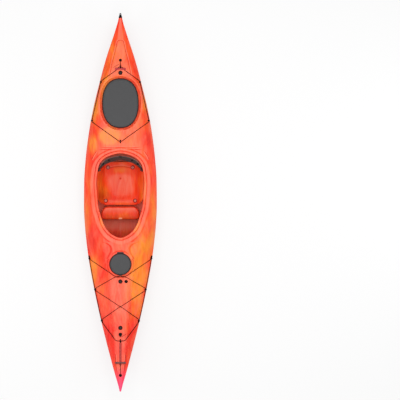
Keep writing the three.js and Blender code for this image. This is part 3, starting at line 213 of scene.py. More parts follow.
# Cockpit: its outline in plan and its lip's height, as shares
COCKPIT_FRONT = -355.0
COCKPIT_LENGTH = 845.0
COCKPIT_HALF = 239.0
COAMING_FOOT = 16  # from the opening outwards to where its neck meets the deck
COCKPIT = [
    (0, 0), (0.027, 0.28), (0.083, 0.527), (0.167, 0.711), (0.251, 0.808), (0.365, 0.925), (0.49, 0.967),
    (0.65, 1), (0.78, 0.958), (0.855, 0.9), (0.912, 0.774), (0.958, 0.56), (1, 0),
]
LIP_TOP = [
    (-0.03, 0.998), (0.06, 0.982), (0.13, 0.964), (0.27, 0.919), (0.415, 0.885), (0.56, 0.865),
    (0.7, 0.847), (0.84, 0.842), (0.98, 0.85), (1.05, 0.85),
]


def travelled(path):
    """How far along a path each of its points lies."""
    return np.concatenate([[0], np.cumsum(np.linalg.norm(np.diff(path, axis=0), axis=1))])


def points_at(at, along, path):
    return np.stack([np.interp(at, along, column) for column in path.T], axis=1)


def resample(points, count):
    """Evenly spaced points on a closed path."""
    closed = np.vstack([points, points[:1]])
    along = travelled(closed)
    return points_at(np.linspace(0, along[-1], count, endpoint=False), along, closed)


def closed_curve(points, parts=24):
    """A smooth closed path through points, by the centripetal rule."""
    out = []
    for k in range(len(points)):
        p = [points[(k + j) % len(points)] for j in (-1, 0, 1, 2)]
        knots = [0.0]
        for a, b in zip(p, p[1:]):
            knots.append(knots[-1] + max(np.linalg.norm(b - a), 1e-6) ** 0.5)
        for t in np.linspace(knots[1], knots[2], parts, endpoint=False):
            level = p
            for reach in (1, 2):
                level = [((knots[j + reach] - t) * level[j] + (t - knots[j]) * level[j + 1])
                         / (knots[j + reach] - knots[j]) for j in range(4 - reach)]
            out.append(((knots[2] - t) * level[0] + (t - knots[1]) * level[1]) / (knots[2] - knots[1]))
    return np.array(out)


def cockpit_path(count):
    right = [np.array([out * COCKPIT_HALF, COCKPIT_FRONT + along * COCKPIT_LENGTH]) for along, out in COCKPIT]
    left = [p * (-1, 1) for p in right[1:-1][::-1]]
    return resample(closed_curve(right + left), count)


def full_turn(count):
    return np.linspace(0, 2 * np.pi, count, endpoint=False)


def squared(wave, power):
    """A sine or cosine changed so that the round it draws has flatter sides."""
    return np.sign(wave) * np.abs(wave) ** (2 / power)


def normals_of(path, closed=True):
    """Outward directions in plan of a path that runs anticlockwise."""
    step = np.roll(path, -1, axis=0) - np.roll(path, 1, axis=0) if closed else np.gradient(path, axis=0)
    return units(np.stack([step[:, 1], -step[:, 0]], axis=1))


def inside(x, y, path):
    """Whether places in plan lie inside a closed path."""
    result = np.zeros(np.shape(x), bool)
    for (ax, ay), (bx, by) in zip(path, np.roll(path, -1, axis=0)):
        crosses = (ay > y) != (by > y)
        if ay != by:
            result ^= crosses & (x < ax + (y - ay) * (bx - ax) / (by - ay))
    return result


def at_height(plan, z):
    return np.column_stack([plan, np.full(len(plan), z)])


def box_of(node_name):
    """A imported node's lowest and highest corner, in millimetres."""
    return [np.array(corner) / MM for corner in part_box(node_name)]


# Meshes
REPLACED = set()
X, Y, Z = np.eye(3)


def strip(rings, closed_path=True, closed_section=False):
    """Points and faces of a grid of rings of the same number of points."""
    rows, columns = rings.shape[:2]
    faces = []
    for r in range(rows if closed_path else rows - 1):
        n = (r + 1) % rows
        for c in range(columns if closed_section else columns - 1):
            d = (c + 1) % columns
            faces.append((r * columns + c, r * columns + d, n * columns + d, n * columns + c))
    return rings.reshape(-1, rings.shape[2]), faces


class Body:
    """Points and faces gathered from several surfaces, with a tone at each point and a material for each face."""

    def __init__(self):
        self.points, self.faces, self.tones, self.slots, self.count = [], [], [], [], 0

    def add(self, points, faces, tone=0.0, slot=0, frame=None, flip=False):
        points = np.asarray(points, float)
        if frame is not None:
            points = frame[0] + points @ np.array(frame[1:])
        self.points.append(points)
        self.tones.append(np.full(len(points), tone) if np.ndim(tone) == 0 else np.ravel(tone))
        self.faces += [tuple(k + self.count for k in (face[::-1] if flip else face)) for face in faces]
        self.slots += [slot] * len(faces)
        self.count += len(points)

    def grid(self, rings, closed_path=True, closed_section=False, **more):
        self.add(*strip(np.asarray(rings, float), closed_path, closed_section), **more)

    def layers(self, rings, **more):
        """Closed rings one above another."""
        self.grid(np.array(rings).transpose(1, 0, 2), **more)

    def fan(self, ring, **more):
        """A flat end of one ring."""
        self.add(ring, [tuple(range(len(ring)))], **more)

    def lathe(self, profile, frame, count=40, **more):
        """A turned form: profile pairs are (radius, height), from the bottom's middle to the top's."""
        radius, height = np.array(profile, float).T
        radius = np.maximum(radius, 0.04)
        x, y = (np.outer(wave(full_turn(count)), radius) for wave in (np.cos, np.sin))
        self.grid(np.stack([x, y, np.tile(height, (count, 1))], axis=2), frame=frame, flip=True, **more)

    def plate(self, outline, low, high, edge, frame, **more):
        """A flat form of a plan outline, anticlockwise, with its edges rounded."""
        outline = np.asarray(outline, float)
        normals = normals_of(outline)
        levels = ((low, edge), (low + edge * 0.3, edge * 0.3), (low + edge, 0),
                  (high - edge, 0), (high - edge * 0.3, edge * 0.3), (high, edge))
        rings = [at_height(outline - normals * inset, z) for z, inset in levels]
        self.layers(rings, frame=frame, flip=True, **more)
        self.fan(rings[0][::-1], frame=frame, **more)
        self.fan(rings[-1], frame=frame, **more)

    def tube(self, path, radius, sides=12, **more):
        """A round tube along points in space."""
        path = np.asarray(path, float)
        tangent = units(np.gradient(path, axis=0))
        side = np.cross(tangent[0], Z if abs(tangent[0][2]) < 0.9 else X)
        angle = full_turn(sides)
        rings = []
        for point, way in zip(path, tangent):
            side = unit(side - way * side.dot(way))
            up = np.cross(side, way)
            rings.append(point + radius * (np.outer(np.cos(angle), side) + np.outer(np.sin(angle), up)))
        self.prism(rings, **more)

    def prism(self, rings, flip=False, **more):
        """Closed sections one after another, with both ends closed."""
        rings = np.asarray(rings, float)
        self.grid(rings, False, True, flip=flip, **more)
        self.fan(rings[0] if flip else rings[0][::-1], **more)
        self.fan(rings[-1][::-1] if flip else rings[-1], **more)

    def make(self, name, materials, replaces=None, body="hull", angle=35):
        """The finished piece, on its body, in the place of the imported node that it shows."""
        mesh = bpy.data.meshes.new(name)
        mesh.from_pydata((np.vstack(self.points) * MM).tolist(), [], self.faces)
        for material in materials if isinstance(materials, list) else [materials]:
            mesh.materials.append(material)
        mesh.polygons.foreach_set("material_index", self.slots)
        # The tone, which paints light and shade into the marbled plastic
        tones = np.concatenate(self.tones).astype(np.float32)
        mesh.attributes.new("tone", "FLOAT", "POINT").data.foreach_set("value", tones)
        mesh.validate()
        made = bpy.data.objects.new(name, mesh)
        bpy.context.collection.objects.link(made)
        mesh.polygons.foreach_set("use_smooth", [True] * len(mesh.polygons))
        mesh.set_sharp_from_angle(angle=math.radians(angle))
        mesh.update()
        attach(made, body)
        if replaces:
            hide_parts(replaces)
            REPLACED.add(replaces)
        return made


def stand(x, y, heading=(0.0, 1.0)):
    """Where a fitting stands on the deck: its foot, and its own three directions."""
    up = deck_normal(x, y)
    along = np.array([*heading, 0.0])
    along = unit(along - up * along.dot(up))
    return np.array([x, y, deck_z(x, y)]), np.cross(along, up), along, up


def swept(path, profile_at, closed=True):
    """Rings of a profile carried along a path in plan: profile_at(k, point, normal, deck) gives (offset, z) pairs.
    deck(offset) is the bare deck's height at an offset from the path."""
    rings = []
    for k, (point, normal) in enumerate(zip(path, normals_of(path, closed))):
        profile = np.array(profile_at(k, point, normal, lambda offset: deck_z(*(point + normal * offset))), float)
        rings.append(np.column_stack([point + normal * profile[:, :1], profile[:, 1]]))
    return np.array(rings)


def over(deck, pairs):
    """(offset, height above the bare deck) pairs as (offset, z)."""
    return [(offset, deck(offset) + lift) for offset, lift in pairs]


# Materials: graphs of nodes in object coordinates, in metres
def put(tree, made, inputs):
    """Links each input to a socket, or gives it a value."""
    for key, value in dict(inputs).items():
        if isinstance(value, bpy.types.NodeSocket):
            tree.links.new(value, made.inputs[key])
        else:
            made.inputs[key].default_value = value


def node(tree, kind, inputs=(), **settings):
    made = tree.nodes.new(kind)
    for key, value in settings.items():
        setattr(made, key, value)
    put(tree, made, inputs)
    return made


def graph(name):
    """A new material, with its tree, its shader and the places that its textures read."""
    material = bpy.data.materials.new(name)
    material.use_nodes = True
    tree = material.node_tree
    return material, tree, tree.nodes["Principled BSDF"], node(tree, "ShaderNodeTexCoord").outputs["Object"]


def srgb(*colour):
    shares = (part / 255 for part in colour)
    return (*(v / 12.92 if v <= 0.04045 else ((v + 0.055) / 1.055) ** 2.4 for v in shares), 1)


def ramp(tree, value, stops):
    made = node(tree, "ShaderNodeValToRGB", {"Fac": value})
    elements = made.color_ramp.elements
    while len(elements) < len(stops):
        elements.new(0.5)
    for element, (place, colour) in zip(elements, stops):
        element.position, element.color = place, colour
    return made.outputs["Color"]


def noise(tree, where, scale, detail=3, distortion=0.0, stretch=(1, 1, 1), rough=0.5):
    mapped = node(tree, "ShaderNodeMapping", {"Vector": where, "Scale": stretch})
    return node(tree, "ShaderNodeTexNoise", {
        "Vector": mapped.outputs["Vector"], "Scale": scale, "Detail": detail,
        "Distortion": distortion, "Roughness": rough}).outputs["Fac"]


def maths(tree, operation, a, b):
    return node(tree, "ShaderNodeMath", {0: a, 1: b}, operation=operation).outputs[0]


def spread(tree, value, low, high, to_low=0.0, to_high=1.0, **settings):
    return node(tree, "ShaderNodeMapRange", {
        "Value": value, "From Min": low, "From Max": high, "To Min": to_low, "To Max": to_high}, **settings).outputs[0]


def mix(tree, share, a, b):
    return node(tree, "ShaderNodeMix", {0: share, 6: a, 7: b}, data_type="RGBA").outputs[2]


def bump(tree, height, strength, distance):
    made = node(tree, "ShaderNodeBump", {"Height": height, "Strength": strength, "Distance": distance})
    return made.outputs["Normal"]


def spot(tree, where, centre, size, level):
    """A soft placed patch: its level at the centre and 0 beyond its size."""
    for operation, other in (("SUBTRACT", centre), ("DIVIDE", size)):
        where = node(tree, "ShaderNodeVectorMath", {0: where, 1: other}, operation=operation).outputs[0]
    length = node(tree, "ShaderNodeVectorMath", {0: where}, operation="LENGTH").outputs["Value"]
    return spread(tree, length, 1.0, 0.25, 0.0, level, interpolation_type="SMOOTHSTEP")


def marbled(name, patches=(), dark=1.0, rough=0.42, whole=True, deep=(178, 24, 8), gloss=0.24):
    """Rotomoulded plastic: red, orange and yellow powders run into each other. The mesh's tone paints light
    and shade into the colour: paler towards a painted highlight, and deeper towards painted shade, as along creases."""
    def tint(*colour):
        return srgb(*(part * dark for part in colour))

    material, tree, shader, where = graph(name)
    broad = noise(tree, where, 2.4, 2, 0.9, (1.4, 0.7, 1.2))
    fine = noise(tree, where, 7.5, 4, 1.8, (1.5, 0.5, 1.3), 0.6)
    value = maths(tree, "ADD", maths(tree, "MULTIPLY", broad, 0.62), maths(tree, "MULTIPLY", fine, 0.38))
    for x, y, wide, long, level in patches:
        value = maths(tree, "ADD", value, spot(tree, where, (x, y, 0.3), (wide, long, 0.45), level))
    colour = ramp(tree, value, [
        (0.3, tint(236, 30, 18)), (0.42, tint(247, 50, 22)), (0.52, tint(252, 70, 24)),
        (0.62, tint(253, 97, 28)), (0.78, tint(253, 138, 36))])
    veil = noise(tree, where, 5.5, 4, 2.2, (1.9, 0.5, 1.0), 0.55)
    colour = mix(tree, spread(tree, veil, 0.5, 0.74, 0.0, 0.5), colour, tint(252, 88, 66))
    if whole:
        along = node(tree, "ShaderNodeSeparateXYZ", {0: where}).outputs["Y"]
        colour = mix(tree, spread(tree, along, -0.95, -1.45, 0.0, 0.6), colour, srgb(250, 36, 36))
    # Painted light: the mesh's tone, with random streaks added to it
    tone = node(tree, "ShaderNodeAttribute", attribute_name="tone").outputs["Fac"]
    streaks = noise(tree, where, 8.0, 5, 2.6, (2.0, 0.42, 1.0), 0.6)
    tone = maths(tree, "ADD", tone, spread(tree, streaks, 0.3, 0.7, -0.24, 0.3))
    # Painted highlight towards pale salmon, and painted shade towards the deep colour
    colour = mix(tree, spread(tree, tone, 0.0, 1.0, 0.0, 0.85), colour, tint(255, 132, 106))
    colour = mix(tree, spread(tree, tone, 0.0, -1.0, 0.0, 0.85), colour, tint(*deep))
    if whole:
        colour = mix(tree, spread(tree, along, -1.64, -1.84, 0.0, 0.85), colour, srgb(252, 62, 122))
    matt = spread(tree, noise(tree, where, 30, 3), 0.0, 1.0, rough - 0.06, rough + 0.08)
    peel = bump(tree, noise(tree, where, 420, 3), 0.06, 0.001)
    put(tree, shader, {"Base Color": colour, "Roughness": matt, "Normal": peel, "Specular IOR Level": gloss})
    return material


def plain(name, colour, rough, change=0.08, scale=40, grain=900, bumps=0.15, metal=0.0, variation=0.12, gloss=0.3):
    """A moulded surface with a faint mottle and grain."""
    material, tree, shader, where = graph(name)
    mottle = noise(tree, where, scale, 4)
    dark, light = ((*(min(1, c * (1 + way * variation)) for c in srgb(*colour)[:3]), 1) for way in (-1, 1))
    put(tree, shader, {
        "Base Color": mix(tree, mottle, dark, light), "Metallic": metal, "Specular IOR Level": gloss,
        "Roughness": spread(tree, mottle, 0.0, 1.0, rough - change, rough + change),
        "Normal": bump(tree, noise(tree, where, grain, 2), bumps, 0.0005)})
    return material


def braided(name, colour, light):
    """Cord with a braided sheath: two sets of slanting strands."""
    material, tree, shader, where = graph(name)
    waves = []
    for slant in ((1, 1, 0.6), (-1, 1, -0.6)):
        mapped = node(tree, "ShaderNodeMapping", {"Vector": where, "Scale": slant}).outputs["Vector"]
        waves.append(node(tree, "ShaderNodeTexWave", {"Vector": mapped, "Scale": 170, "Distortion": 0.4},
                          bands_direction="DIAGONAL").outputs["Fac"])
    weave = maths(tree, "MULTIPLY", *waves)
    put(tree, shader, {
        "Base Color": mix(tree, weave, srgb(*colour), srgb(*light)), "Normal": bump(tree, weave, 0.5, 0.0006),
        "Roughness": 0.8, "Specular IOR Level": 0.05})
    return material


def cloth(name, colour, light, threads=700):
    """Woven covering: threads over and under, worn paler in places, with a soft sheen."""
    material, tree, shader, where = graph(name)
    waves = [node(tree, "ShaderNodeTexWave", {"Vector": where, "Scale": threads}, bands_direction=way).outputs["Fac"]
             for way in ("X", "Z")]
    wear = noise(tree, where, 14, 4)
    creases = maths(tree, "MULTIPLY", noise(tree, where, 60, 3, 1.0, (1, 1, 0.4)), 1.6)
    relief = maths(tree, "ADD", maths(tree, "MULTIPLY", *waves), creases)
    put(tree, shader, {
        "Base Color": mix(tree, wear, srgb(*colour), srgb(*light)), "Normal": bump(tree, relief, 0.4, 0.0006),
        "Roughness": 0.85, "Sheen Weight": 0.04, "Specular IOR Level": 0.1})
    return material


# Amber and deep red clouds: place across and along in metres, half sizes, and strength
CLOUDS = [
    (0.20, -0.50, 0.17, 0.20, 0.25), (0.27, -0.36, 0.12, 0.14, 0.18), (0.19, -0.74, 0.14, 0.22, 0.24),
    (0.15, -0.90, 0.07, 0.14, 0.24), (-0.27, -0.68, 0.07, 0.26, 0.26), (-0.10, 0.66, 0.14, 0.15, 0.3),
    (-0.28, 0.58, 0.08, 0.15, 0.22), (-0.27, 0.93, 0.08, 0.22, 0.2), (0.26, 0.98, 0.07, 0.2, 0.2),
    (0.33, -0.05, 0.07, 0.3, 0.16), (-0.34, -0.15, 0.07, 0.3, 0.22), (-0.16, 1.15, 0.08, 0.2, 0.16),
    (0.16, -1.06, 0.07, 0.12, 0.16), (-0.26, -0.32, 0.08, 0.14, -0.06), (-0.22, -0.62, 0.08, 0.12, 0.12),
    (-0.19, -0.88, 0.07, 0.14, 0.1), (-0.15, -1.03, 0.07, 0.13, 0.12), (0.26, 0.62, 0.07, 0.16, -0.14),
    (-0.12, -1.3, 0.06, 0.12, -0.1), (0.12, -1.28, 0.05, 0.14, -0.1), (0.25, 0.88, 0.05, 0.08, -0.08),
    (-0.22, 0.40, 0.08, 0.08, -0.1), (0.0, 0.45, 0.2, 0.06, -0.06), (-0.02, 1.45, 0.25, 0.5, 0.12),
    (-0.12, 0.67, 0.13, 0.12, 0.22), (0.17, -0.25, 0.06, 0.12, 0.3), (-0.18, -0.2, 0.05, 0.12, 0.3),
    (0.245, 0.12, 0.03, 0.25, 0.2), (-0.12, 1.1, 0.08, 0.2, 0.14), (0.2, -0.95, 0.05, 0.16, 0.14),
    (-0.33, 0.25, 0.06, 0.3, 0.12), (0.33, -0.35, 0.05, 0.14, 0.08),
]
SEAT_CLOUDS = [
    (0.0, 0.32, 0.17, 0.05, 0.14), (0.0, -0.14, 0.22, 0.07, 0.16), (-0.14, 0.08, 0.12, 0.12, 0.12),
    (0.0, -0.01, 0.2, 0.04, 0.16), (0.21, 0.13, 0.07, 0.3, 0.24), (-0.2, 0.1, 0.06, 0.3, 0.14),
]
hull_plastic = marbled("marbled_hull", CLOUDS)
# The inside is a copy of the hull's plastic at 0.94, darker as painted shade, and without clouds
inner_plastic = marbled("marbled_inside", [], 0.94, 0.6, False)
# The seat's painted shade is a browner red, (184, 56, 14)
seat_plastic = marbled("marbled_seat", SEAT_CLOUDS, 1.0, 0.45, False, (184, 56, 14), 0.12)
rubber = plain("hatch_rubber", (78, 78, 79), 0.85, 0.05, 22, 700, 0.2, 0, 0.05, 0.15)
# Dark rubber for the covers' rims, painted as the shadow gap round each cover
painted_rim_shadow = plain("painted_rim_shadow_rubber", (44, 28, 26), 0.85, 0.05, 30, 700, 0.2, 0, 0.1, 0.15)
tab_rubber = plain("tab_rubber", (58, 57, 59), 0.8, 0.05, 30, 700, 0.2, 0, 0.1, 0.15)
black = plain("black_nylon", (13, 5, 5), 0.6, 0.06, 60, 900, 0.15, 0, 0.15, 0.08)
plug_centre = plain("plug_centre", (60, 44, 42), 0.75, 0.06, 60, 900, 0.15, 0, 0.15, 0.2)
foam = plain("closed_cell_foam", (72, 72, 74), 0.95, 0.03, 60, 300, 0.6)
salmon = plain("pale_rubber", (240, 150, 112), 0.6)
# The pivots' steel is darkened, as painted shade
steel = plain("bolt_steel", (74, 66, 64), 0.5, 0.08, 200, 1500, 0.1, 0.6)
bolt_head = plain("bolt_head", (228, 150, 134), 0.5, 0.08, 90, 900, 0.15, 0, 0.15)
# The bolts' dished rings are painted dark red as the shadow round their heads
bolt_shadow_ring = plain("bolt_shadow_ring", (150, 34, 22), 0.6, 0.06, 90, 900, 0.15, 0, 0.15)
aluminium = plain("rail_aluminium", (180, 182, 184), 0.38, 0.08, 120, 1500, 0.1, 1.0)
# The bow handle is black plastic lightened to a greyish pink, as a painted sheen
bow_handle = plain("bow_handle", (104, 66, 66), 0.6, 0.06, 80, 900, 0.2, 0.0, 0.25)
stern_handle = plain("stern_handle", (188, 56, 66), 0.6, 0.06, 80, 900, 0.2, 0.0, 0.25)
cord_cover = braided("braided_cord", (16, 3, 1), (34, 8, 5))
bungee_cover = braided("braided_bungee", (26, 4, 2), (56, 13, 8))
keeper_cover = braided("keeper_cord", (172, 62, 58), (204, 94, 88))
toggle_cover = braided("toggle_cord", (86, 18, 12), (128, 36, 26))
tail_cover = braided("thin_cord", (132, 34, 24), (168, 62, 44))
padding = cloth("padded_cloth", (56, 43, 40), (74, 60, 56))
webbing = cloth("arm_webbing", (42, 32, 30), (60, 47, 44), 500)
piping = cloth("piping_cloth", (100, 82, 77), (126, 104, 98))


# Hull
def half_ring(y):
    """Half of the section, from the keel's middle to the deck's middle, as (x, z, tone)."""
    beam, keel, sheer, deck, chine_x, chine_z, shoulder_x, shoulder_z = station(y)
    strip_x = min(KEEL_STRIP, chine_x / 3)
    # Tones: paler along the keel's middle, a painted highlight up the gunwale's round and on the plateau, and painted
    # shade down the deck's side towards the shoulder
    points = [(0.0, keel, 0.35)]
    for s in np.linspace(0, 1, 11):
        rise = (1 - BOTTOM_ROUND) * s + BOTTOM_ROUND * s ** 3
        points.append((strip_x + (chine_x - strip_x) * s, keel + (chine_z - keel) * rise, 0.0))
    for u in np.linspace(0, 1, 10)[1:]:
        x = chine_x + (beam - chine_x) * smooth(SIDE, u)
        points.append((x, chine_z + (sheer - chine_z) * u, 0.15 * u ** 6))
    for q in np.linspace(0, 1, 13)[1:]:
        z = sheer + (shoulder_z - sheer) * smooth(DECK_SIDE, q)
        points.append((beam + (shoulder_x - beam) * q, z, 0.15 * (1 - q) ** 2 - 0.1 * bell(q - 0.72, 0.26)))
    # The plateau's painted highlight, less just ahead of the cockpit, varied by a slow wave along the hull
    pale = 0.44 - 0.3 * bell(y + 330, 110) - 0.12 * math.sin(y / 61) * math.sin(y / 137 + 1)
    for p in 1 - np.array([0.03, 0.07, 0.12, 0.18, 0.26, 0.36, 0.47, 0.6, 0.74, 0.88, 1.0]):
        z = shoulder_z + (deck - shoulder_z) * smooth(PLATEAU, p)
        points.append((shoulder_x * p, z, pale * smoothstep(1 - p, -0.05, 0.5)))
    return np.array(points)


def whole_ring(y, inset=0.0):
    """The section all round, drawn in by an inset, as (x, y, z, tone)."""
    half = half_ring(y)
    ring = np.vstack([half, (half[1:-1] * (-1, 1, 1))[::-1]])
    tone = ring[:, 2]
    for side, share in ((-1, 1), (1, 0.6)):
        fore_slope = smoothstep(side * ring[:, 0], 60, 110) * smoothstep(ring[:, 1], 240, 290)
        tone = tone + 0.3 * share * bell(y + 980, 200) * fore_slope
    ring = ring[:, :2]
    if inset:
        ring = ring - normals_of(ring) * inset
    return np.column_stack([ring[:, 0], np.full(len(ring), y), ring[:, 1], tone])


def stations(count, first=0.0, last=1.0):
    """Places along the hull, closer together at its ends."""
    even = np.linspace(0, 1, count)
    crowded = (1 - np.cos(np.pi * even)) / 2
    return BOW_Y + HULL_LENGTH * (first + (last - first) * (even * 0.45 + crowded * 0.55))


# Hatches: their rims' outlines in plan, the width of the rear one's sunk pan, and the heights of the pan and the pad
REAR = dict(y=991.5, half_x=182.5, half_y=247.5, power=2.3)
FRONT = dict(y=-618.5, half_x=110.5, half_y=110.5, power=2.0)
REAR_PAN, REAR_Z, FRONT_Z = 20, 297, 392


def hatch_path(hatch, grow, count=144):
    angle = full_turn(4096)
    x = (hatch["half_x"] + grow) * squared(np.cos(angle), hatch["power"])
    y = hatch["y"] + (hatch["half_y"] + grow) * squared(np.sin(angle), hatch["power"])
    return resample(np.column_stack([x, y]), count)


def lip_top(y):
    return HULL_DEPTH * smooth(LIP_TOP, (y - COCKPIT_FRONT) / COCKPIT_LENGTH)


def open_grid(rings, holes, low_z=180):
    """A grid with the faces left out whose middle lies in a hole and above a height."""
    points, faces = strip(rings, False, True)
    middles = points[np.array(faces)].mean(axis=1)
    gone = np.zeros(len(faces), bool)
    for path in holes:
        gone |= inside(middles[:, 0], middles[:, 1], path) & (middles[:, 2] > low_z)
    return points, [face for face, drop in zip(faces, gone) if not drop]


def coaming(k, point, normal, deck):
    """From the inside outwards: the neck, the lip, the groove under it and the raised band round it."""
    top = lip_top(point[1])
    band = 61 - (11 if normal[1] > 0 else 7.5) * normal[1]
    low = min(deck(0) - 14, top - 40)
    groove = max(deck(COAMING_FOOT), deck(24)) + 3
    lip = [(0, -6), (0.8, -2.5), (3, -0.6), (6, 0), (12, 0.3), (17, -0.2), (20, -1.2), (21.6, -3.5), (22, -6),
           (22, -10.5), (21, -11.5), (19.4, -11), (19, -7.5), (8, -7), (6.4, -8.5)]
    raised = [(25.4, 5.6), (28, 7.4), (33, 7.9), (46, 8), (band - 7, 7.8), (band - 2, 6.9), (band + 3, 4.6),
              (band + 8, 1.6), (band + 12, 0.2), (band + 18, -1.6)]
    return [(COAMING_FOOT, low + 2), (4, low), (0.5, low + 2), (0, low + 6),
            *[(offset, top + lift) for offset, lift in lip],
            (6, groove + 3), (7, groove + 0.8), (9, groove), (22, groove), (24, groove + 1), *over(deck, raised)]


def rear_pan(k, point, normal, deck):
    """The rear hatch's rim, its sunk pan, the pan's wall and the soft edge round it."""
    z, edge = REAR_Z, REAR_PAN
    raised = [(edge + 2.4, 0.4), (edge + 5, 2.2), (edge + 12, 2.4), (edge + 18, 0.8), (edge + 24, -1.2)]
    return [(-26, z - 10), (-26, z + 17), (-24.5, z + 19), (-15.5, z + 19), (-14, z + 17.5), (-14, z + 2), (-12.5, z),
            (edge - 6, z), (edge - 2, z + 1.2), (edge, z + 4), (edge + 0.6, max(deck(edge), 300) - 2.5),
            *over(deck, raised)]


def front_pad(k, point, normal, deck):
    """The front hatch's rim, and a round flat pad that runs out into the deck."""
    z = FRONT_Z
    return [(-21, z - 8), (-21, z + 6), (-19.5, z + 8), (-12.5, z + 8), (-11, z + 6.5), (-11, z + 1), (-10, z), (10, z),
            (13, z - 0.4), (17, max(z - 2, deck(17) + 2)), (22, max(z - 5, deck(22) + 0.8)),
            *over(deck, [(27, 0.2), (33, -1.5)])]


# The neck's half width along it
NECK = [(395, 176), (405, 142), (415, 120), (428, 103), (445, 90), (462, 85), (480, 86), (500, 92), (522, 102),
        (550, 118), (566, 126)]


def neck_grid():
    """The raised neck between the cockpit and the front hatch: its points and their tones."""
    rows, tones = [], []
    for y in np.linspace(-395, -566, 56):
        half = np.interp(-y, *np.transpose(NECK))
        row = [(half + 26, deck_z(half + 26, y) - 1.5), (half + 16, deck_z(half + 16, y) + 0.3),
               (half + 8, deck_z(half + 8, y) + 1.6)]
        flat = [(x, min(deck_z(x, y) + 6.5, FRONT_Z + 0.4)) for x in (half - 3, *np.linspace(half - 7, 0, 7))]
        row += [(half + 2, (deck_z(half + 2, y) + 1.6 + flat[0][1]) / 2), *flat]
        # Painted shade down the neck's edge, fading out towards the cockpit, and a painted highlight on its flat top
        crease = smoothstep(-y, 396, 424)
        tone = [0.1, 0.05 - 0.2 * crease, 0.05 - 0.55 * crease, 0.1 - 0.4 * crease, 0.2] + [0.36] * 7
        rows.append([(x, y, z) for x, z in row] + [(-x, y, z) for x, z in row[:-1][::-1]])
        tones.append(tone + tone[:-1][::-1])
    return np.array(rows), np.array(tones)


# Creases moulded in the deck: where they run, and their section as (offset, height above the deck, tone). The tone
# paints a highlight on one flank of the ridge and shade on the other.
KEYHOLE = [(-118, 1250), (-100, 1330), (-84, 1410), (-66, 1480), (-50, 1540), (-40, 1592), (-36, 1617), (-25, 1628)]
LEFT_CREASES = [[(-225, 522), (-262, 470), (-288, 415)], [(-46, -1500), (-44, -1560), (-38, -1640), (-30, -1710)]]
CREASE = [(-11, -0.8, 0.2), (-6.5, 0.9, 0.6), (-1, 2.8, 0.9), (2, 2.4, -0.3), (6, 0.7, -1.15), (12, -0.8, 0.0)]


def mirrored(path):
    return [(-x, y) for x, y in path[::-1]]


def stepped(points, step=14):
    """Points along straight steps, rounded a little at their corners."""
    along = travelled(points)
    fine = points_at(np.linspace(0, along[-1], max(24, int(along[-1] / step))), along, np.array(points, float))
    for _ in range(3):
        fine[1:-1] = (fine[:-2] + 2 * fine[1:-1] + fine[2:]) / 4
    return fine


def add_crease(body, path, ends=4):
    """A crease laid along a path, fading out at its ends."""
    count = np.arange(len(path))
    fade = np.minimum(1, np.minimum(count, count[::-1]) / ends)

    def section(k, point, normal, deck):
        return over(deck, [(offset, lift * fade[k] - (1 - fade[k])) for offset, lift, _ in CREASE])

    tones = np.outer(fade, [tone for _, _, tone in CREASE])
    body.grid(swept(path, section, False), False, tone=tones, flip=True)


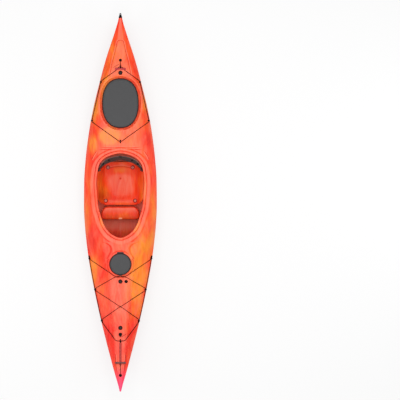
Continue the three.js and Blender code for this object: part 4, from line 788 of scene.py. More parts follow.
def build_hull():
    body = Body()
    cockpit = cockpit_path(240)
    holes = [cockpit + normals_of(cockpit) * COAMING_FOOT, hatch_path(REAR, REAR_PAN + 4), hatch_path(FRONT, -6)]
    outer = np.array([whole_ring(y) for y in stations(320)])
    points, faces = open_grid(outer, holes)
    body.add(points[:, :3], faces, tone=points[:, 3], flip=True)
    body.fan(outer[0][:, :3])
    body.fan(outer[-1][::-1, :3])
    inner = np.array([whole_ring(y, WALL) for y in stations(150, 0.03, 0.955)])
    points, faces = open_grid(inner, holes)
    # Painted light inside the hull: painted shade towards the cockpit's front tip, corners at the sides painted
    # lighter, and paler along the keel's middle
    far = smoothstep(-points[:, 1], 235, 335)
    keel_line = np.exp(-(points[:, 0] / 4) ** 2) * (points[:, 2] < 60)
    aside = smoothstep(np.abs(points[:, 0]), 140, 180) * smoothstep(points[:, 1], -230, -150)
    body.add(points[:, :3], faces, tone=0.74 - 1.2 * far + 0.4 * keel_line + 0.6 * aside, slot=1)
    body.fan(inner[0][::-1, :3], slot=1)
    body.fan(inner[-1][:, :3], slot=1)

    # Tones along each profile, from its inner end outwards: painted shade down the cockpit's neck, under the lip, on
    # the hatch rims, in the rear pan and down the pad's edge, and painted highlights on the lip's top, the raised band
    # round the coaming and the edges round the pans
    for path, profile_at, row in (
            (cockpit, coaming, [
                -0.7, -0.7, -0.7, -0.6, -0.1, 0.15, 0.35, 0.4, 0.4, 0.35, 0.25, 0.1, 0.0, -0.2, -0.3, -0.3, -0.3, -0.3,
                -0.2, 0, 0, 0, 0, 0.1, 0.4, 0.55, 0.66, 0.68, 0.62, 0.5, 0.1, -0.25, -0.2, 0.1]),
            (hatch_path(REAR, 0), rear_pan, [
                -1, -1, -0.6, -0.6, -0.8, -0.8, -0.6, -0.25, -0.2, -0.15, -0.05, 0.1, 0.4, 0.5, 0.45, 0.4]),
            (hatch_path(FRONT, 0, 120), front_pad, [
                -1, -1, -0.6, -0.6, -0.8, -1, -0.9, 0.3, 0.35, -0.1, -0.5, -0.2, 0.2])):
        tones = np.tile(np.array(row, float), (len(path), 1))
        if profile_at is coaming:
            for k, (x, y) in enumerate(path):
                # Three darker spots each side on the lip's inner edge
                darker_spots = ((230, -13), (208, -89), (176, -162))
                tones[k, 4:8] -= max(math.exp(-((abs(x) - at_x) ** 2 + (y - at_y) ** 2) / 36) for at_x, at_y in darker_spots)
        body.grid(swept(path, profile_at), tone=tones, flip=True)

    points, tones = neck_grid()
    body.grid(points, False, tone=tones)
    paths = [[(-205, 549.5), (-120, 552), (0, 553), (120, 552), (205, 549.5)],
             [(-237, 529), (-120, 538), (0, 541), (120, 538), (237, 529)],
             *LEFT_CREASES, *map(mirrored, LEFT_CREASES), KEYHOLE + [(0, 1629)] + mirrored(KEYHOLE)]
    for path in paths:
        add_crease(body, stepped(path))
    return body.make("hull_skin", [hull_plastic, inner_plastic], "hull", angle=32)


skin = build_hull().data
skin_tree = BVHTree.FromPolygons([vertex.co / MM for vertex in skin.vertices],
                                 [list(face.vertices) for face in skin.polygons])
BOTH = ((-1, "left"), (1, "right"))


def surface(x, y):
    """Height and upward direction of the moulded skin at a place in plan."""
    place, normal, _, _ = skin_tree.ray_cast(Vector((x, y, 600)), Vector((0, 0, -1)))
    return place.z, abs(normal.z)


# Two small dimples moulded low on the bow, with deeper red painted into them as shade
for side, name in BOTH:
    place, normal, _, _ = skin_tree.ray_cast(Vector((side * 67, -1255, -50)), Vector((0, 0, 1)))
    out = np.array(normal) * (-1 if normal.z > 0 else 1)
    ahead = unit(Y - out * out[1])
    round_it = [5.5 * math.cos(t) * np.cross(ahead, out) + 10 * math.sin(t) * ahead for t in full_turn(24)]
    rings = [np.array(place) + out * lift + share * np.array(round_it)
             for share, lift in ((1, -0.6), (1, 0.25), (0.8, 0.5), (0.62, 0.35), (0.4, -0.1), (0.05, -0.3))]
    body = Body()
    body.layers(rings, tone=-0.9)
    body.make("bow_dimple_" + name, [hull_plastic], angle=60)


# Hatch covers. Their sections are (offset, z), from the skirt's underside to the top.
REAR_COVER = [
    (-40, 300.5), (-13.2, 300.5), (-12.5, 297.8), (-1.5, 297.6), (0, 299), (0.2, 310), (-0.6, 316), (-2.4, 319),
    (-5, 320.4), (-9, 320.8), (-12.5, 320.2), (-14, 318.6), (-15.4, 317.8), (-17.2, 318.2), (-18.6, 319.8),
    (-22, 320.8), (-28, 321.2),
]
FRONT_COVER = [
    (-34, 403.8), (-10.6, 403.8), (-10.2, 392.8), (-1.5, 392.5), (0, 394), (0.1, 400), (-0.8, 404), (-2.4, 406),
    (-5, 407), (-8.5, 407.2), (-11, 406.6), (-12.4, 405.2), (-13.8, 404.4), (-15.4, 405), (-16.8, 406.6),
    (-20, 407.6), (-26, 408),
]


def tab_rings(y_edge, way, half, length, low, high):
    """A pull tab that stands out from a cover's edge, with a rounded end."""
    outline = [(half * squared(math.cos(t), 4), y_edge + way * length * math.sin(t) ** 0.5)
               for t in np.linspace(0, np.pi, 17)]
    outline = np.array(outline + [(-half, y_edge - way * 8), (half, y_edge - way * 8)])
    middle = outline.mean(axis=0)
    levels = ((low, 0.96), (low, 1), (high - 1.5, 1), (high - 0.4, 0.97), (high, 0.93), (high, 0.5), (high, 0.02))
    return [at_height(middle + (outline - middle) * share, z) for z, share in levels]


def build_cover(name, hatch, profile, crown, tabs=()):
    body = Body()
    rings = swept(hatch_path(hatch, 0), lambda *_: profile)
    edge = max(k for k, (offset, _) in enumerate(profile) if offset > -9.5)
    # The skirt and the cover's outer edge take the dark rim colour, painted as the shadow gap round the cover
    body.grid(rings[:, :edge + 1], slot=1, flip=True)
    body.grid(rings[:, edge:], flip=True)
    inner, low, centre = rings[:, -1, :2], profile[-1][1], np.array([0, hatch["y"]])
    rings = [at_height(centre + (inner - centre) * share, low + (crown - low) * (1 - share ** 2))
             for share in (1, 0.93, 0.84, 0.72, 0.58, 0.42, 0.26, 0.12)]
    body.layers(rings, flip=True)
    body.fan(rings[-1])
    for tab in tabs:
        body.layers(tab, slot=2, flip=True)
    body.make(name + "_lid", [rubber, painted_rim_shadow, tab_rubber], name, name, 34)


build_cover("rear_hatch_cover", REAR, REAR_COVER, 324)
build_cover("front_hatch_cover", FRONT, FRONT_COVER, 410, [
    tab_rings(-510, 1, 34, 13, 392.5, 400.5), tab_rings(-727, -1, 20, 6, 392.5, 399)])

# Seat: its outline's half widths along it, and its bolts' places and feet
SEAT_REAR, SEAT_FRONT, SEAT_WALL = 403.0, -27.0, 5.0
SEAT_SIDE = [
    (-27, 144), (-23, 161), (-14, 179), (-1, 197), (16, 214), (35, 226), (56, 234), (286, 234), (300, 227), (318, 211),
    (335, 195), (349, 181), (362, 167), (374, 152), (386, 134), (396, 114), (403, 88),
]
BOLTS = {"rear": (123, 348.5, 75.2), "front": (146.5, 16.5, 79.1)}


def seat_form(x, y):
    """Height of the seat at a place in plan, and the tone there, which paints light and shade into its plastic."""
    pan_z, pan_half, wing_rise = 74.0, 168.0, 98.0
    out = abs(x)
    end = abs((y - (SEAT_REAR + SEAT_FRONT) / 2) / ((SEAT_REAR - SEAT_FRONT) / 2)) ** 4
    dish = 8 * (1 - (min(out, pan_half) / pan_half) ** 2)
    z = pan_z - dish + 16 * end + wing_rise * smoothstep(out, pan_half - 26, 240)
    round_in = ((out / 142) ** 3 + (abs(y - 172) / 122) ** 3) ** (1 / 3)
    inner = 1 - smoothstep(round_in, 0.74, 1.08)
    ledge = y - 348 - 14 * (1 - (x / 106) ** 2)
    between = 1 - smoothstep(out, 98, 106)
    drain = math.exp(-(x ** 2 + (y - 238) ** 2) / 50)
    front = bell(y - 10, 15) * (1 - smoothstep(out, 112, 132))
    z += 3 * bell(ledge, 5) * between - 5 * inner - 6 * drain + 4 * front
    for bolt_x, bolt_y, foot in BOLTS.values():
        z += (foot - z) * (1 - smoothstep(math.hypot(out - bolt_x, y - bolt_y), 21, 44))
    # Painted highlight on the pan, more towards the rear right, and on the front lip; painted shade in the drain
    tone = 0.62 * inner * (0.55 + 0.45 * smoothstep(y + 0.55 * x, 20, 220)) + 0.02 + 0.5 * front - 2 * drain
    # Painted shade down the left side of the pan, and towards the front on the left
    tone -= 0.36 * (x < 0) * smoothstep(out, 145, 175) * (1 - smoothstep(out, 205, 226))
    tone -= 0.6 * (1 - smoothstep(y, 50, 190)) * (1 - smoothstep(x, -170, -20)) * smoothstep(y, 0, 60)
    # A painted highlight on the ledge between the rear bolts, and a dark line painted in front of it as shadow
    tone += between * (0.7 * bell(ledge - 6, 5) - bell(ledge + 4, 4.5))
    # Painted shade at the front and rear edges
    tone -= 0.35 * smoothstep(-y, 6, 27) + 0.25 * smoothstep(y, 388, 403)
    return z, tone


def build_seat(columns=97):
    rows, tones = [], []
    for share in np.linspace(0, 1, 110):
        eased = (1 - math.cos(math.pi * share)) / 2
        y = SEAT_FRONT + (SEAT_REAR - SEAT_FRONT) * (0.5 * eased + 0.5 * share)
        half = max(smooth(SEAT_SIDE, y), 1)
        across = np.linspace(-1, 1, columns) * half
        height, tone = np.array([seat_form(x, y) for x in across]).T
        upper = np.column_stack([across, np.full(columns, y), height])
        right, left = ([(x, y, height[0] - SEAT_WALL / 2)] for x in (half + 1.2, -half - 1.2))
        rows.append(np.vstack([upper, right, upper[::-1] - Z * SEAT_WALL, left]))
        # Painted shade on the seat's side edges
        tones.append([*tone, -0.3, *tone[::-1], -0.3])
    body = Body()
    body.grid(rows, False, True, tone=tones)
    body.fan(rows[0][::-1])
    body.fan(rows[-1])
    body.make("seat_pan", seat_plastic, "seat", angle=50)


build_seat()


def bend(a, b, c, parts=8):
    """Points of a curve from a to c that turns towards b."""
    a, b, c = np.array([a, b, c], float)
    return [(1 - t) ** 2 * a + 2 * t * (1 - t) * b + t * t * c for t in np.linspace(0, 1, parts)]


def rounded_outline(corners, radius, parts=8, count=120):
    """A polygon with its corners rounded, anticlockwise."""
    corners = np.array(corners, float)
    out = []
    for before, corner, after in zip(np.roll(corners, 1, axis=0), corners, np.roll(corners, -1, axis=0)):
        out += bend(corner + unit(before - corner) * radius, corner, corner + unit(after - corner) * radius, parts)
    return resample(np.array(out), count)


def build_leg_rest(foot=40.0, high=131.5, rounds=20.0, dome=3.0):
    """The raised step ahead of the seat: straight sides, a rounded edge and a slightly domed top."""
    outline = rounded_outline(
        [(190, -170.5), (190, -86.5), (151, -41.5), (-151, -41.5), (-190, -86.5), (-190, -170.5)], 30)
    edge = normals_of(outline) * rounds
    middle = np.array([0, -106.0])
    rings = [at_height(outline, foot), at_height(outline, high - rounds)]
    for angle in np.linspace(0.2, np.pi / 2, 7):
        z = high - rounds * (1 - math.sin(angle)) - dome * math.sin(angle)
        rings.append(at_height(outline - edge * (1 - math.cos(angle)), z))
    for share in (0.9, 0.75, 0.55, 0.3, 0.02):
        rings.append(at_height(middle + (outline - edge - middle) * share, high - dome + dome * (1 - share) ** 0.7))
    rings = np.array(rings).transpose(1, 0, 2)
    # Painted shade down the foot and round the edges, and a painted highlight on the top, paler towards the seat and
    # darker towards the front
    row = np.array([-0.3, -0.25, -0.3, -0.35, -0.4, -0.3, -0.1, 0.1, 0.15, *[0.22] * 5])
    body = Body()
    body.grid(rings, tone=row + 0.6 * np.clip((rings[:, :, 1] + 102) / 38, -1, 1) * (row > 0), flip=True)
    body.make("leg_rest_step", seat_plastic, "leg_rest", angle=50)


build_leg_rest()

# Seat bolts: a paler domed head with a driver's recess, in a dished ring painted dark red as the shadow round the head
for end, (x, y, _) in BOLTS.items():
    for side, name in BOTH:
        bolt = f"seat_bolt_{end}_{name}"
        foot = (np.array([side * x, y, box_of(bolt)[1][2]]), X, Y, Z)
        body = Body()
        body.lathe([(0, -16.5), (4, -16.5), (4, -8.4), (20, -8.2), (20, -2.6), (18.6, -1.4), (16, -1.2), (13.2, -3.2),
                    (11.6, -3.6)], foot)
        body.lathe([(11.4, -4), (11.2, -1.6), (10, -0.5), (7, 0.0), (4.2, 0.05)], foot, slot=1)
        body.lathe([(4.2, 0.05), (4.0, -0.2), (3.9, -2.6), (0, -2.8)], foot, 6)
        body.make(bolt + "_dished", [bolt_shadow_ring, bolt_head], bolt)

# Pivot bolts of the backrest
PIVOT_Y, PIVOT_Z = 321.0, 311.0
for side, name in BOTH:
    pivot = "backrest_pivot_" + name
    low, high = box_of(pivot)
    inner = low[0] if side > 0 else high[0]
    reach = high[0] - low[0]
    profile = [(0, 1.6), (3, 1.4), (3.2, 0.2), (6.5, 0.1), (8.3, 0.9), (9, 2.0), (9, 3), (4, 3), (4, reach - 3),
               (8.6, reach - 3), (9, reach - 2.6), (8.8, reach - 1), (7.4, reach - 0.2), (5, reach), (0, reach)]
    body = Body()
    axis = (np.array([0, PIVOT_Y, PIVOT_Z]), Y, Z, X)
    body.lathe([(radius, inner + side * along) for radius, along in profile], axis, 32)
    body.make(pivot + "_turned", steel, pivot)


# Deck fittings
def arch_outline(half, tunnel, height, tunnel_height, sink):
    """The side of a guide: two feet and an arch over the tunnel, anticlockwise."""
    foot = height - tunnel_height
    right = np.array([
        (tunnel, -sink), (half - 1, -sink), *bend((half, -sink + 1), (half, foot - 1), (half - 2.5, foot)),
        *bend((half - 3, foot), (tunnel + 1.5, foot), (tunnel + 0.5, height - 4)),
        *bend((tunnel + 0.4, height - 3.6), (tunnel, height), (tunnel - 4, height))])
    under = np.array(bend((tunnel, 4), (tunnel, tunnel_height), (tunnel - 4, tunnel_height)))
    return np.vstack([right, right[::-1] * (-1, 1), under * (-1, 1), under[::-1]])


def build_guide(node_name, x, y, heading, size):
    """A guide that a cord runs under, with a screw in each foot."""
    half, _, height, tunnel_height, _ = size
    origin, across, along, up = stand(x, y, heading)
    body = Body()
    body.plate(arch_outline(*size), -6, 6, 1.4, (origin, across, up, -along))
    for side in (-1, 1):
        foot = origin + across * side * (half - 4.4) + up * (height - tunnel_height)
        screw = [(3.4, -0.6), (3.4, 0.2), (2.9, 0.9), (1.6, 1.25), (1.5, 0.5), (0, 0.5)]
        body.lathe(screw, (foot, across, along, up), 20)
    body.make(node_name + "_moulded", black, node_name)


def guide_spots(places, before, after):
    """Each guide's place, and the way its line runs there."""
    stops = np.array([before, *places, after], float)
    return [(*stop, unit(following - last)) for last, stop, following in zip(stops, stops[1:], stops[2:])]


FORE_GUIDES = [(183, -1183.5), (250, -871.5), (307, -558.5)]
AFT_GUIDES = [(281, 816.5), (193, 1202.5)]
BOW_EYE, AFT_EYE, STERN_EYE = -1386.5, 608.4, 1356.5
BOW_TOGGLE, STERN_TOGGLE = -1604.5, 1334.5
BOW_ANCHOR, STERN_ANCHOR = -1730.5, 1421.5
PLUGS = {"bow": -1255.5, "fore": -791.5, "stern": 1295.5}
BUTTON_X, KNOB_Y = 57, -1320.5
# Guides and eyes: half length, tunnel's half width, height, tunnel's height, and depth of the feet below the deck
GUIDE = (15, 7.5, 13, 9.5, 4)
EYE = (18, 8.5, 13, 9.5, 3)
fore_spots = guide_spots(FORE_GUIDES, (0, BOW_EYE), FORE_GUIDES[-1])
aft_spots = guide_spots(AFT_GUIDES, (0, AFT_EYE), (0, STERN_TOGGLE))
for group, found in (("fore", fore_spots), ("aft", aft_spots)):
    for k, (x, y, way) in enumerate(found, 1):
        build_guide(f"{group}_line_guide_right_{k}", x, y, way, GUIDE)
        build_guide(f"{group}_line_guide_left_{k}", -x, y, way * (-1, 1), GUIDE)
for name, y in (("bow", BOW_EYE), ("aft", AFT_EYE), ("stern", STERN_EYE)):
    build_guide(name + "_pad_eye", 0, y, (1.0, 0.0), EYE)
    if name == "aft":
        boss = rounded_outline([(34, -8), (34, 8), (-34, 8), (-34, -8)], 7, 6, 60)
        body = Body()
        body.plate(boss, -4, 1.4, 1.0, stand(0, y), tone=0.15)
        body.make("aft_eye_boss", hull_plastic)


def turned(node_name, profile, x, y, count=48):
    """A black fitting turned about an axis that stands on the deck."""
    body = Body()
    body.lathe(profile, stand(x, y), count)
    body.make(node_name + "_turned", black, node_name)


for name, y in (("bow", BOW_ANCHOR), ("stern", STERN_ANCHOR)):
    turned(name + "_cord_anchor", [
        (0, 0.3), (14.4, 0.3), (15, 0.9), (15, 1.8), (14, 3), (11.5, 4), (7.5, 4.6), (5.2, 5.4), (4.5, 6.6), (4.3, 8.6),
        (4.6, 9.6), (4.3, 10.6), (3, 11), (0, 11)], 0, y, 40)
for name, y in PLUGS.items():
    plug, post = name + "_plug", stand(0, y)
    turned(plug + "_seat", [
        (14.5, -12), (17.5, -12), (17.5, 0.3), (20.2, 0.3), (21, 0.9), (21, 2.2), (20, 3.2), (18, 3.5), (15.4, 3.5),
        (14.5, 3.0), (14.5, -12)], 0, y)
    body = Body()
    body.lathe([(0, -6), (12.6, -6), (13.8, -5), (13.8, 3.8), (18.4, 3.8), (19, 4.6), (19, 8.4), (18.2, 9.8),
                (16.6, 10.4), (14.2, 10.5), (12.6, 9.6)], post, 48)
    body.lathe([(12.6, 9.6), (10.8, 8.8), (0, 8.6)], post, 48, slot=1)
    bar = rounded_outline([(9.5, -2.6), (9.5, 2.6), (-9.5, 2.6), (-9.5, -2.6)], 2.3, 6, 40)
    body.plate(bar, 7.6, 12.4, 0.9, post, slot=1)
    body.make(plug + "_turned", [black, plug_centre], plug, plug)
turned("deck_button", [
    (0, 0.3), (16.4, 0.3), (17, 1.0), (17, 2.6), (15.8, 3.8), (12.5, 4.7), (8.6, 5), (8, 4.2), (0, 4.0)],
    BUTTON_X, PLUGS["fore"])

# Fore deck knob: a drop-shaped cleat
drop = [(17.5 * math.cos(t), 17.5 * math.sin(t)) for t in np.linspace(0, np.pi, 33)]
drop += [(-16, -7), (-9, -18), (-2.6, -25.6), (2.6, -25.6), (9, -18), (16, -7)]
drop = resample(np.array(drop), 80)
body = Body()
for share, low, high, edge in ((1, -2, 5.2, 0.8), (0.84, 5.0, 8.0, 0.8), (1, 7.6, 11.8, 1.6)):
    body.plate(drop * share, low, high, edge, stand(0, KNOB_Y))
body.make("foredeck_knob_moulded", black, "foredeck_knob")

# Toggles: waisted handles with shallow grip rings
for name, material in (("bow", bow_handle), ("stern", stern_handle)):
    toggle = name + "_toggle"
    end = [(9, 47), (8.1, 51), (6.2, 54), (3.5, 55.6), (0, 56)]
    profile = [(radius, -x) for radius, x in end[::-1]]
    for x in np.linspace(-44, 44, 89):
        waist = smoothstep(abs(x), 12, 36)
        profile.append((6.6 + 2.2 * waist + 0.35 * math.cos(x * 1.15) * waist, x))
    body = Body()
    body.lathe(profile + end, (sum(box_of(toggle)) / 2, Y, Z, X))
    body.make(toggle + "_grip", material, toggle, toggle, 50)


# Cords: drawn straight over the skin, so they bear on its high places and span the hollows
def through(spots, radius, aside):
    """Pinned places of a cord under guides, from the last guide's far side to the first one's."""
    found = []
    for x, y, way in spots[::-1]:
        origin, across, along, up = stand(x, y, way)
        for reach in (12, 0, -12):
            found.append((*(origin + across * aside + along * reach + up * (radius + 0.9)), True))
    return found


def laid(route, radius, step=9.0, clear=0.5, rounds=501):
    """Points of a taut cord. A route's point is (x, y), (x, y, lift) or, at a fitting, a fixed place marked True."""
    stops = [np.array(p[:2], float) for p in route]
    raised = [p[2] if len(p) == 3 else 0.0 for p in route]
    pins = [p[2] if len(p) == 4 else None for p in route]
    places, fixed, lifts = [], [], []
    for k, (a, b) in enumerate(zip(stops, stops[1:])):
        parts = max(1, int(round(np.linalg.norm(b - a) / step)))
        for part in range(parts):
            places.append(a + (b - a) * part / parts)
            fixed.append(None if part else pins[k])
            lifts.append(raised[k] + (raised[k + 1] - raised[k]) * part / parts)
    places = np.array(places + stops[-1:])
    fixed.append(pins[-1])
    lifts.append(raised[-1])
    kept = [k for k, value in enumerate(fixed) if value is not None]
    free = np.array([value is None for value in fixed])[1:-1, None]
    for _ in range(3):
        places[1:-1] = np.where(free, (places[:-2] + 2 * places[1:-1] + places[2:]) / 4, places[1:-1])
    low = []
    for (x, y), lift in zip(places, lifts):
        z, up = surface(x, y)
        low.append(z + (radius + clear) / max(up, 0.3) + lift)
    low = np.array(low)
    height = low.copy()
    for _ in range(rounds):
        height[kept] = [fixed[k] for k in kept]
        height[1:-1] = np.maximum(low[1:-1], (height[:-2] + height[2:]) / 2)
    height[kept] = [fixed[k] for k in kept]
    return np.column_stack([places, height])


def other_side(route):
    return [(-p[0], *p[1:]) for p in route]


def add_knot(body, end, before, radius):
    """A short barrel of turns round a cord's end."""
    way = unit(end - before)
    side = unit(np.cross(way, Z))
    up = np.cross(side, way)
    coil = [end + way * (1.5 + 1.5 * radius * t / 6.28) + (side * math.cos(t) + up * math.sin(t)) * radius * 1.15
            for t in np.linspace(0, 2.6 * 2 * np.pi, 44)]
    body.tube(coil, radius * 0.8, 8)
    body.tube([end, end + way * (4 + 4.2 * radius)], radius * 0.9, 10)


def make_cord(name, route, radius, material, knotted=True):
    path = laid(route, radius)
    body = Body()
    body.tube(path, radius)
    if knotted:
        add_knot(body, path[0], path[1], radius)
        add_knot(body, path[-1], path[-2], radius)
    body.make(name + "_braid", material, name, angle=60)


LINE, BUNGEE, TAIL = 3.0, 2.5, 1.5  # radii
half = through(fore_spots, LINE, 4.2) + [(46, BOW_EYE + 2, 0.0), (12, BOW_EYE, 0.6)]
make_cord("fore_deck_line", other_side(half) + half[::-1], LINE, cord_cover)
half = [(9, AFT_EYE, 0.6), (18, AFT_EYE + 6, 0.0), *through(aft_spots, LINE, 0)[::-1],
        (42, STERN_TOGGLE - 13.5, 0.0), (12, STERN_EYE, 0.6)]
make_cord("aft_deck_line", other_side(half) + half[::-1], LINE, cord_cover, False)

FORE_CROSSING = -1043.5
for side, name in BOTH:
    fore, middle, aft = (through([found], BUNGEE, -4.7) for found in fore_spots)
    over_other = 5.9 if side > 0 else 0.0
    route = [*aft, (60, -736.5), (30, -739.0, over_other), (-30, -747.0, over_other), (-60, -749.5),
             *other_side(middle), (-30, FORE_CROSSING + 18, 0.5 * over_other), (0, FORE_CROSSING, over_other),
             (30, FORE_CROSSING - 18, 0.5 * over_other), *fore]
    make_cord("fore_bungee_" + name, route if side > 0 else other_side(route), BUNGEE, bungee_cover)

# The keeper: an elastic loop from the bow pad eye round the toggle's place, with a flat web between its runs
turn_y = BOW_TOGGLE - 16
route = [(9 * math.cos(t), turn_y - 9 * math.sin(t)) for t in np.linspace(0, np.pi, 13)]
body = Body()
body.tube(laid([(9, BOW_EYE - 19), *route, (-9, BOW_EYE - 19)], BUNGEE, 6), BUNGEE)
web = ((-9, 0.5), (-5, 0.8), (0, 0.9), (5, 0.8), (9, 0.5), (9, -0.5), (5, -0.4), (0, -0.3), (-5, -0.4), (-9, -0.5))
body.prism([[(x, y, surface(0, y)[0] + 2.6 + lift) for x, lift in web]
            for y in np.linspace(BOW_EYE - 19.5, turn_y + 1, 60)], flip=True)
body.make("bow_toggle_keeper_strap", keeper_cover, "bow_toggle_keeper", angle=60)

# The toggles' cords: two strands from the anchor's waist to the handle
for name, anchor_y, toggle_y in (("bow", BOW_ANCHOR, BOW_TOGGLE), ("stern", STERN_ANCHOR, STERN_TOGGLE)):
    toggle = name + "_toggle"
    towards = math.copysign(1, toggle_y - anchor_y)
    origin, _, _, up = stand(0, anchor_y)
    start = origin + up * 8.6 + Y * towards * 5.2
    end = np.array([0, toggle_y - towards * 6.9, sum(box_of(toggle))[2] / 2])
    share = np.linspace(0, 1, 24)[:, None]
    swell = np.sin(np.pi * share)
    body = Body()
    for aside in (-1.5, 1.5):
        body.tube(start + (end - start) * share + Z * 1.2 * swell + X * aside * (0.6 + 0.9 * swell), 1.5, 10)
    body.tube([start + X * 3.6 * math.cos(t) + Y * (3.6 * math.sin(t) - towards * 5)
               for t in np.linspace(0, 2 * np.pi, 30)], 1.3, 8)
    body.make(toggle + "_cord_braid", toggle_cover, toggle + "_cord", toggle, 60)

# The lines' free tails beside the pad eyes
for name, route in (("bow_line_tail", [(17, -1342), (33, -1334), (48, -1322), (60, -1312)]),
                    ("stern_line_tail", [(-15, 1380), (-30, 1374), (-52, 1360), (-70, 1350)])):
    path = laid(route, TAIL, 4)
    body = Body()
    body.tube(path, TAIL, 10)
    tail = body.make(name, tail_cover, angle=60)


# Backrest: a padded band round the rear of the cockpit, on two webbing arms
SEAMS = (118, 188)


def band_stations(rear=490, edge=226.43, arm_height=30.0, height=132.0, arm_thick=12.0, thick=30.0, clearance=5.0,
                  setback=30.0, lean=27.0):
    """The band's places in plan, from the right arm's end round to the left one's, with its sizes at each."""
    path = cockpit_path(1640)
    path = path[path[:, 1] > PIVOT_Y - arm_height / 2 + 0.4][::4]
    path[:, 0] = np.clip(path[:, 0], -edge, edge)
    middle = lip_top(rear) + 8.95 - height / 2
    found = []
    for point, out in zip(path, normals_of(path, False)):
        share = min(max((point[1] - PIVOT_Y) / (rear - PIVOT_Y), 0), 1)
        grown = smoothstep(share, 0, 1)
        here = arm_thick + (thick - arm_thick) * share
        tall = arm_height + (height - arm_height) * grown
        if point[1] < PIVOT_Y:
            tall = 2 * math.sqrt(max((arm_height / 2) ** 2 - (PIVOT_Y - point[1]) ** 2, 1))
        found.append(dict(
            point=point, out=out, thick=here, height=tall, middle=PIVOT_Z + (middle - PIVOT_Z) * grown,
            inset=here / 2 + clearance * (1 - share) + (setback - here / 2) * share, lean=lean * grown, share=share))
    return found


def on_band(place, across, up):
    """A point of the band: across from its middle outwards, and up from its middle height, as shares of its half sizes.
    Between the inner seams it runs straighter than the cockpit behind it."""
    straight = max(0.0, 1 - (place["point"][0] / SEAMS[0]) ** 2)
    across = across * (1 - 0.56 * straight) if across > 0 else across
    reach = across * place["thick"] / 2 - place["inset"] + (place["lean"] - 5 * straight) * (up - 1) / 2
    x, y = place["point"] + place["out"] * reach
    return (x, y, place["middle"] + up * place["height"] / 2)


def coordinates(mesh):
    found = np.zeros(len(mesh.vertices) * 3)
    mesh.vertices.foreach_get("co", found)
    return found.reshape(-1, 3)


def swelled(made, most, frames=18, force=4.0):
    """Fills a padded piece by a cloth simulation, no point moving further than most."""
    start = coordinates(made.data)
    filling = made.modifiers.new("filling", "CLOTH")
    filling.settings.use_pressure = True
    filling.settings.uniform_pressure_force = force
    filling.settings.effector_weights.gravity = 0
    filling.settings.vertex_group_mass = "held"
    filling.settings.quality = 4
    filling.collision_settings.use_collision = False
    filling.point_cache.frame_end = frames
    scene = bpy.context.scene
    for step in range(1, frames + 1):
        scene.frame_set(step)
    moved = coordinates(made.evaluated_get(bpy.context.evaluated_depsgraph_get()).data) - start
    moved *= np.minimum(1, most * MM / np.maximum(np.linalg.norm(moved, axis=1, keepdims=True), 1e-9))
    made.modifiers.remove(filling)
    scene.frame_set(1)
    made.data.vertices.foreach_set("co", (start + moved).ravel())
    made.data.update()


band = band_stations()
ROUND = 56
ARM_END = 378  # where the webbing arms are sewn to the padded band
rings = []
for place in band:
    power = 2.6 + 1.2 * place["share"]
    across = squared(np.cos(full_turn(ROUND)), power) * 0.93
    up = squared(np.sin(full_turn(ROUND)), power) * 0.985
    rings.append([on_band(place, a, u) for a, u in zip(across, up)])
body = Body()
body.prism(rings, flip=True)
body.slots = [1 if place["point"][1] < ARM_END else 0 for place in band[:-1] for _ in range(ROUND)] + [1, 1]
backrest = body.make("backrest_band", [padding, webbing], "backrest", "backrest", 60)
held = backrest.vertex_groups.new(name="held")
for k, place in enumerate(band):
    weight = float(1 - smoothstep(place["point"][1], 350, 392))
    if weight > 0:
        held.add(list(range(k * ROUND, (k + 1) * ROUND)), weight, "REPLACE")
swelled(backrest, 2.2)

# Sewn seams across the band, pulled in along their lines
points = coordinates(backrest.data) / MM
for k, place in enumerate(band):
    if place["point"][1] < 340:
        continue
    depth = max(bell(abs(place["point"][0]) - x, 5.5) for x in SEAMS) * min(1, place["share"] * 1.6)
    ring = points[k * ROUND:(k + 1) * ROUND]
    middle = np.array(on_band(place, 0, 0))
    out = np.append(place["out"], 0)
    ring -= np.outer((ring - middle) @ out * 0.2 * depth, out)
    ring[:, 2] = middle[2] + (ring[:, 2] - middle[2]) * (1 - 0.03 * depth)
backrest.data.vertices.foreach_set("co", (points * MM).ravel())
backrest.data.update()
finer = backrest.modifiers.new("finer", "SUBSURF")
finer.levels = finer.render_levels = 1

# Piping along the edges, and the stitches beside it
wide = [place for place in band if place["point"][1] > 352]
for name, across, up in (("rear_top", 0.5, 0.975), ("front_foot", -0.8, -0.93)):
    body = Body()
    body.tube([on_band(place, across, up) for place in wide], 2.3, 10)
    body.make("backrest_piping_" + name, piping, None, "backrest", 60)
body = Body()
along = travelled([place["point"] for place in wide])
for up in (0.84, -0.84):
    line = np.array([on_band(place, -0.985, up) for place in wide])
    for start in np.arange(4, along[-1] - 8, 9):
        body.tube(points_at([start, start + 2, start + 4], along, line), 0.45, 5)
body.make("backrest_stitches", piping, None, "backrest", 60)

# Rivets through the band, and the tab at its middle
body = Body()
for x, y in ((118, 428), (188, 382), (-118, 428), (-188, 382)):
    place = min(band, key=lambda p: np.hypot(p["point"][0] - x * 1.13, p["point"][1] - y - 28))
    outward = unit(np.append(-0.55 * place["out"], 0.83))
    side = np.array([-place["out"][1], place["out"][0], 0])
    body.lathe([(0, -3), (9, -3), (9.4, 0.2), (9, 1.4), (7, 2.4), (3, 2.9), (2.4, 2.2), (0, 2.1)],
               (np.array(on_band(place, -0.72, 0.9)), side, np.cross(outward, side), outward), 28)
body.make("backrest_rivets", black, None, "backrest")
middle = min(band, key=lambda p: abs(p["point"][0]))
loop = [(-1.02, 0.55), (-1.06, 0.8), (-0.86, 1.02), (-0.2, 1.055), (0.5, 1.05), (0.95, 0.98), (1.08, 0.7), (1.04, 0.4)]
ring = [on_band(middle, a, u) for a, u in loop] + [on_band(middle, a * 0.86, u * 0.985) for a, u in loop[::-1]]
body = Body()
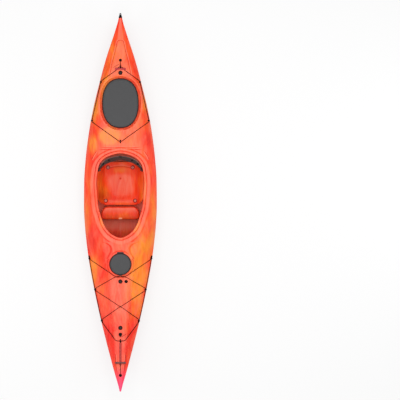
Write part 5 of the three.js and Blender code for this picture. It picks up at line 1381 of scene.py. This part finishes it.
body.prism([[(x, y, z) for _, y, z in ring] for x in (-12, -11, 11, 12)])
body.make("backrest_tab", webbing, None, "backrest")

# Finishes of the pieces whose packed form is shown
FINISHES = {
    "bow_bulkhead": foam, "stern_bulkhead": foam, "leg_rest_tab": salmon,
    "foot_rail_left": aluminium, "foot_rail_right": aluminium,
}
for name, made in frame["nodes"].items():
    if name in REPLACED:
        continue
    made.data.materials.clear()
    made.data.materials.append(FINISHES.get(name, black))
    eased = made.modifiers.new("eased_edges", "BEVEL")
    eased.width, eased.segments, eased.limit_method, eased.angle_limit = 0.0012, 2, "ANGLE", math.radians(32)
    made.modifiers.new("smooth_normals", "WEIGHTED_NORMAL").keep_sharp = True

# Floor: it takes the object's shadow, and shows near white to the camera and in reflections
floor_mesh = bpy.data.meshes.new("floor")
floor_mesh.from_pydata([(-30, -30, 0), (30, -30, 0), (30, 30, 0), (-30, 30, 0)], [], [(0, 1, 2, 3)])
floor = bpy.data.objects.new("floor", floor_mesh)
floor.location.z = -0.0005
bpy.context.collection.objects.link(floor)


def seen(tree):
    """1 to the camera, in reflections and through clear things, and 0 to the light that falls on surfaces."""
    path = node(tree, "ShaderNodeLightPath").outputs
    return maths(tree, "MAXIMUM", path["Is Camera Ray"], maths(
        tree, "MAXIMUM", path["Is Glossy Ray"], path["Is Transmission Ray"]))


floor_material, tree, shader, _ = graph("pale_floor")
put(tree, shader, {
    "Base Color": (0.2, 0.2, 0.2, 1), "Roughness": 0.9, "Specular IOR Level": 0.0, "Emission Color": (1, 1, 1, 1),
    "Emission Strength": maths(tree, "MULTIPLY", seen(tree), 0.77)})
floor_mesh.materials.append(floor_material)

# World: white to the camera and in reflections, a plain pale light on the object
world = bpy.data.worlds.new("studio")
bpy.context.scene.world = world
world.use_nodes = True
tree = world.node_tree
tree.nodes.clear()
strength = spread(tree, seen(tree), 0.0, 1.0, 0.62, 1.0)
background = node(tree, "ShaderNodeBackground", {"Color": (1, 1, 1, 1), "Strength": strength})
node(tree, "ShaderNodeOutputWorld", {"Surface": background.outputs[0]})
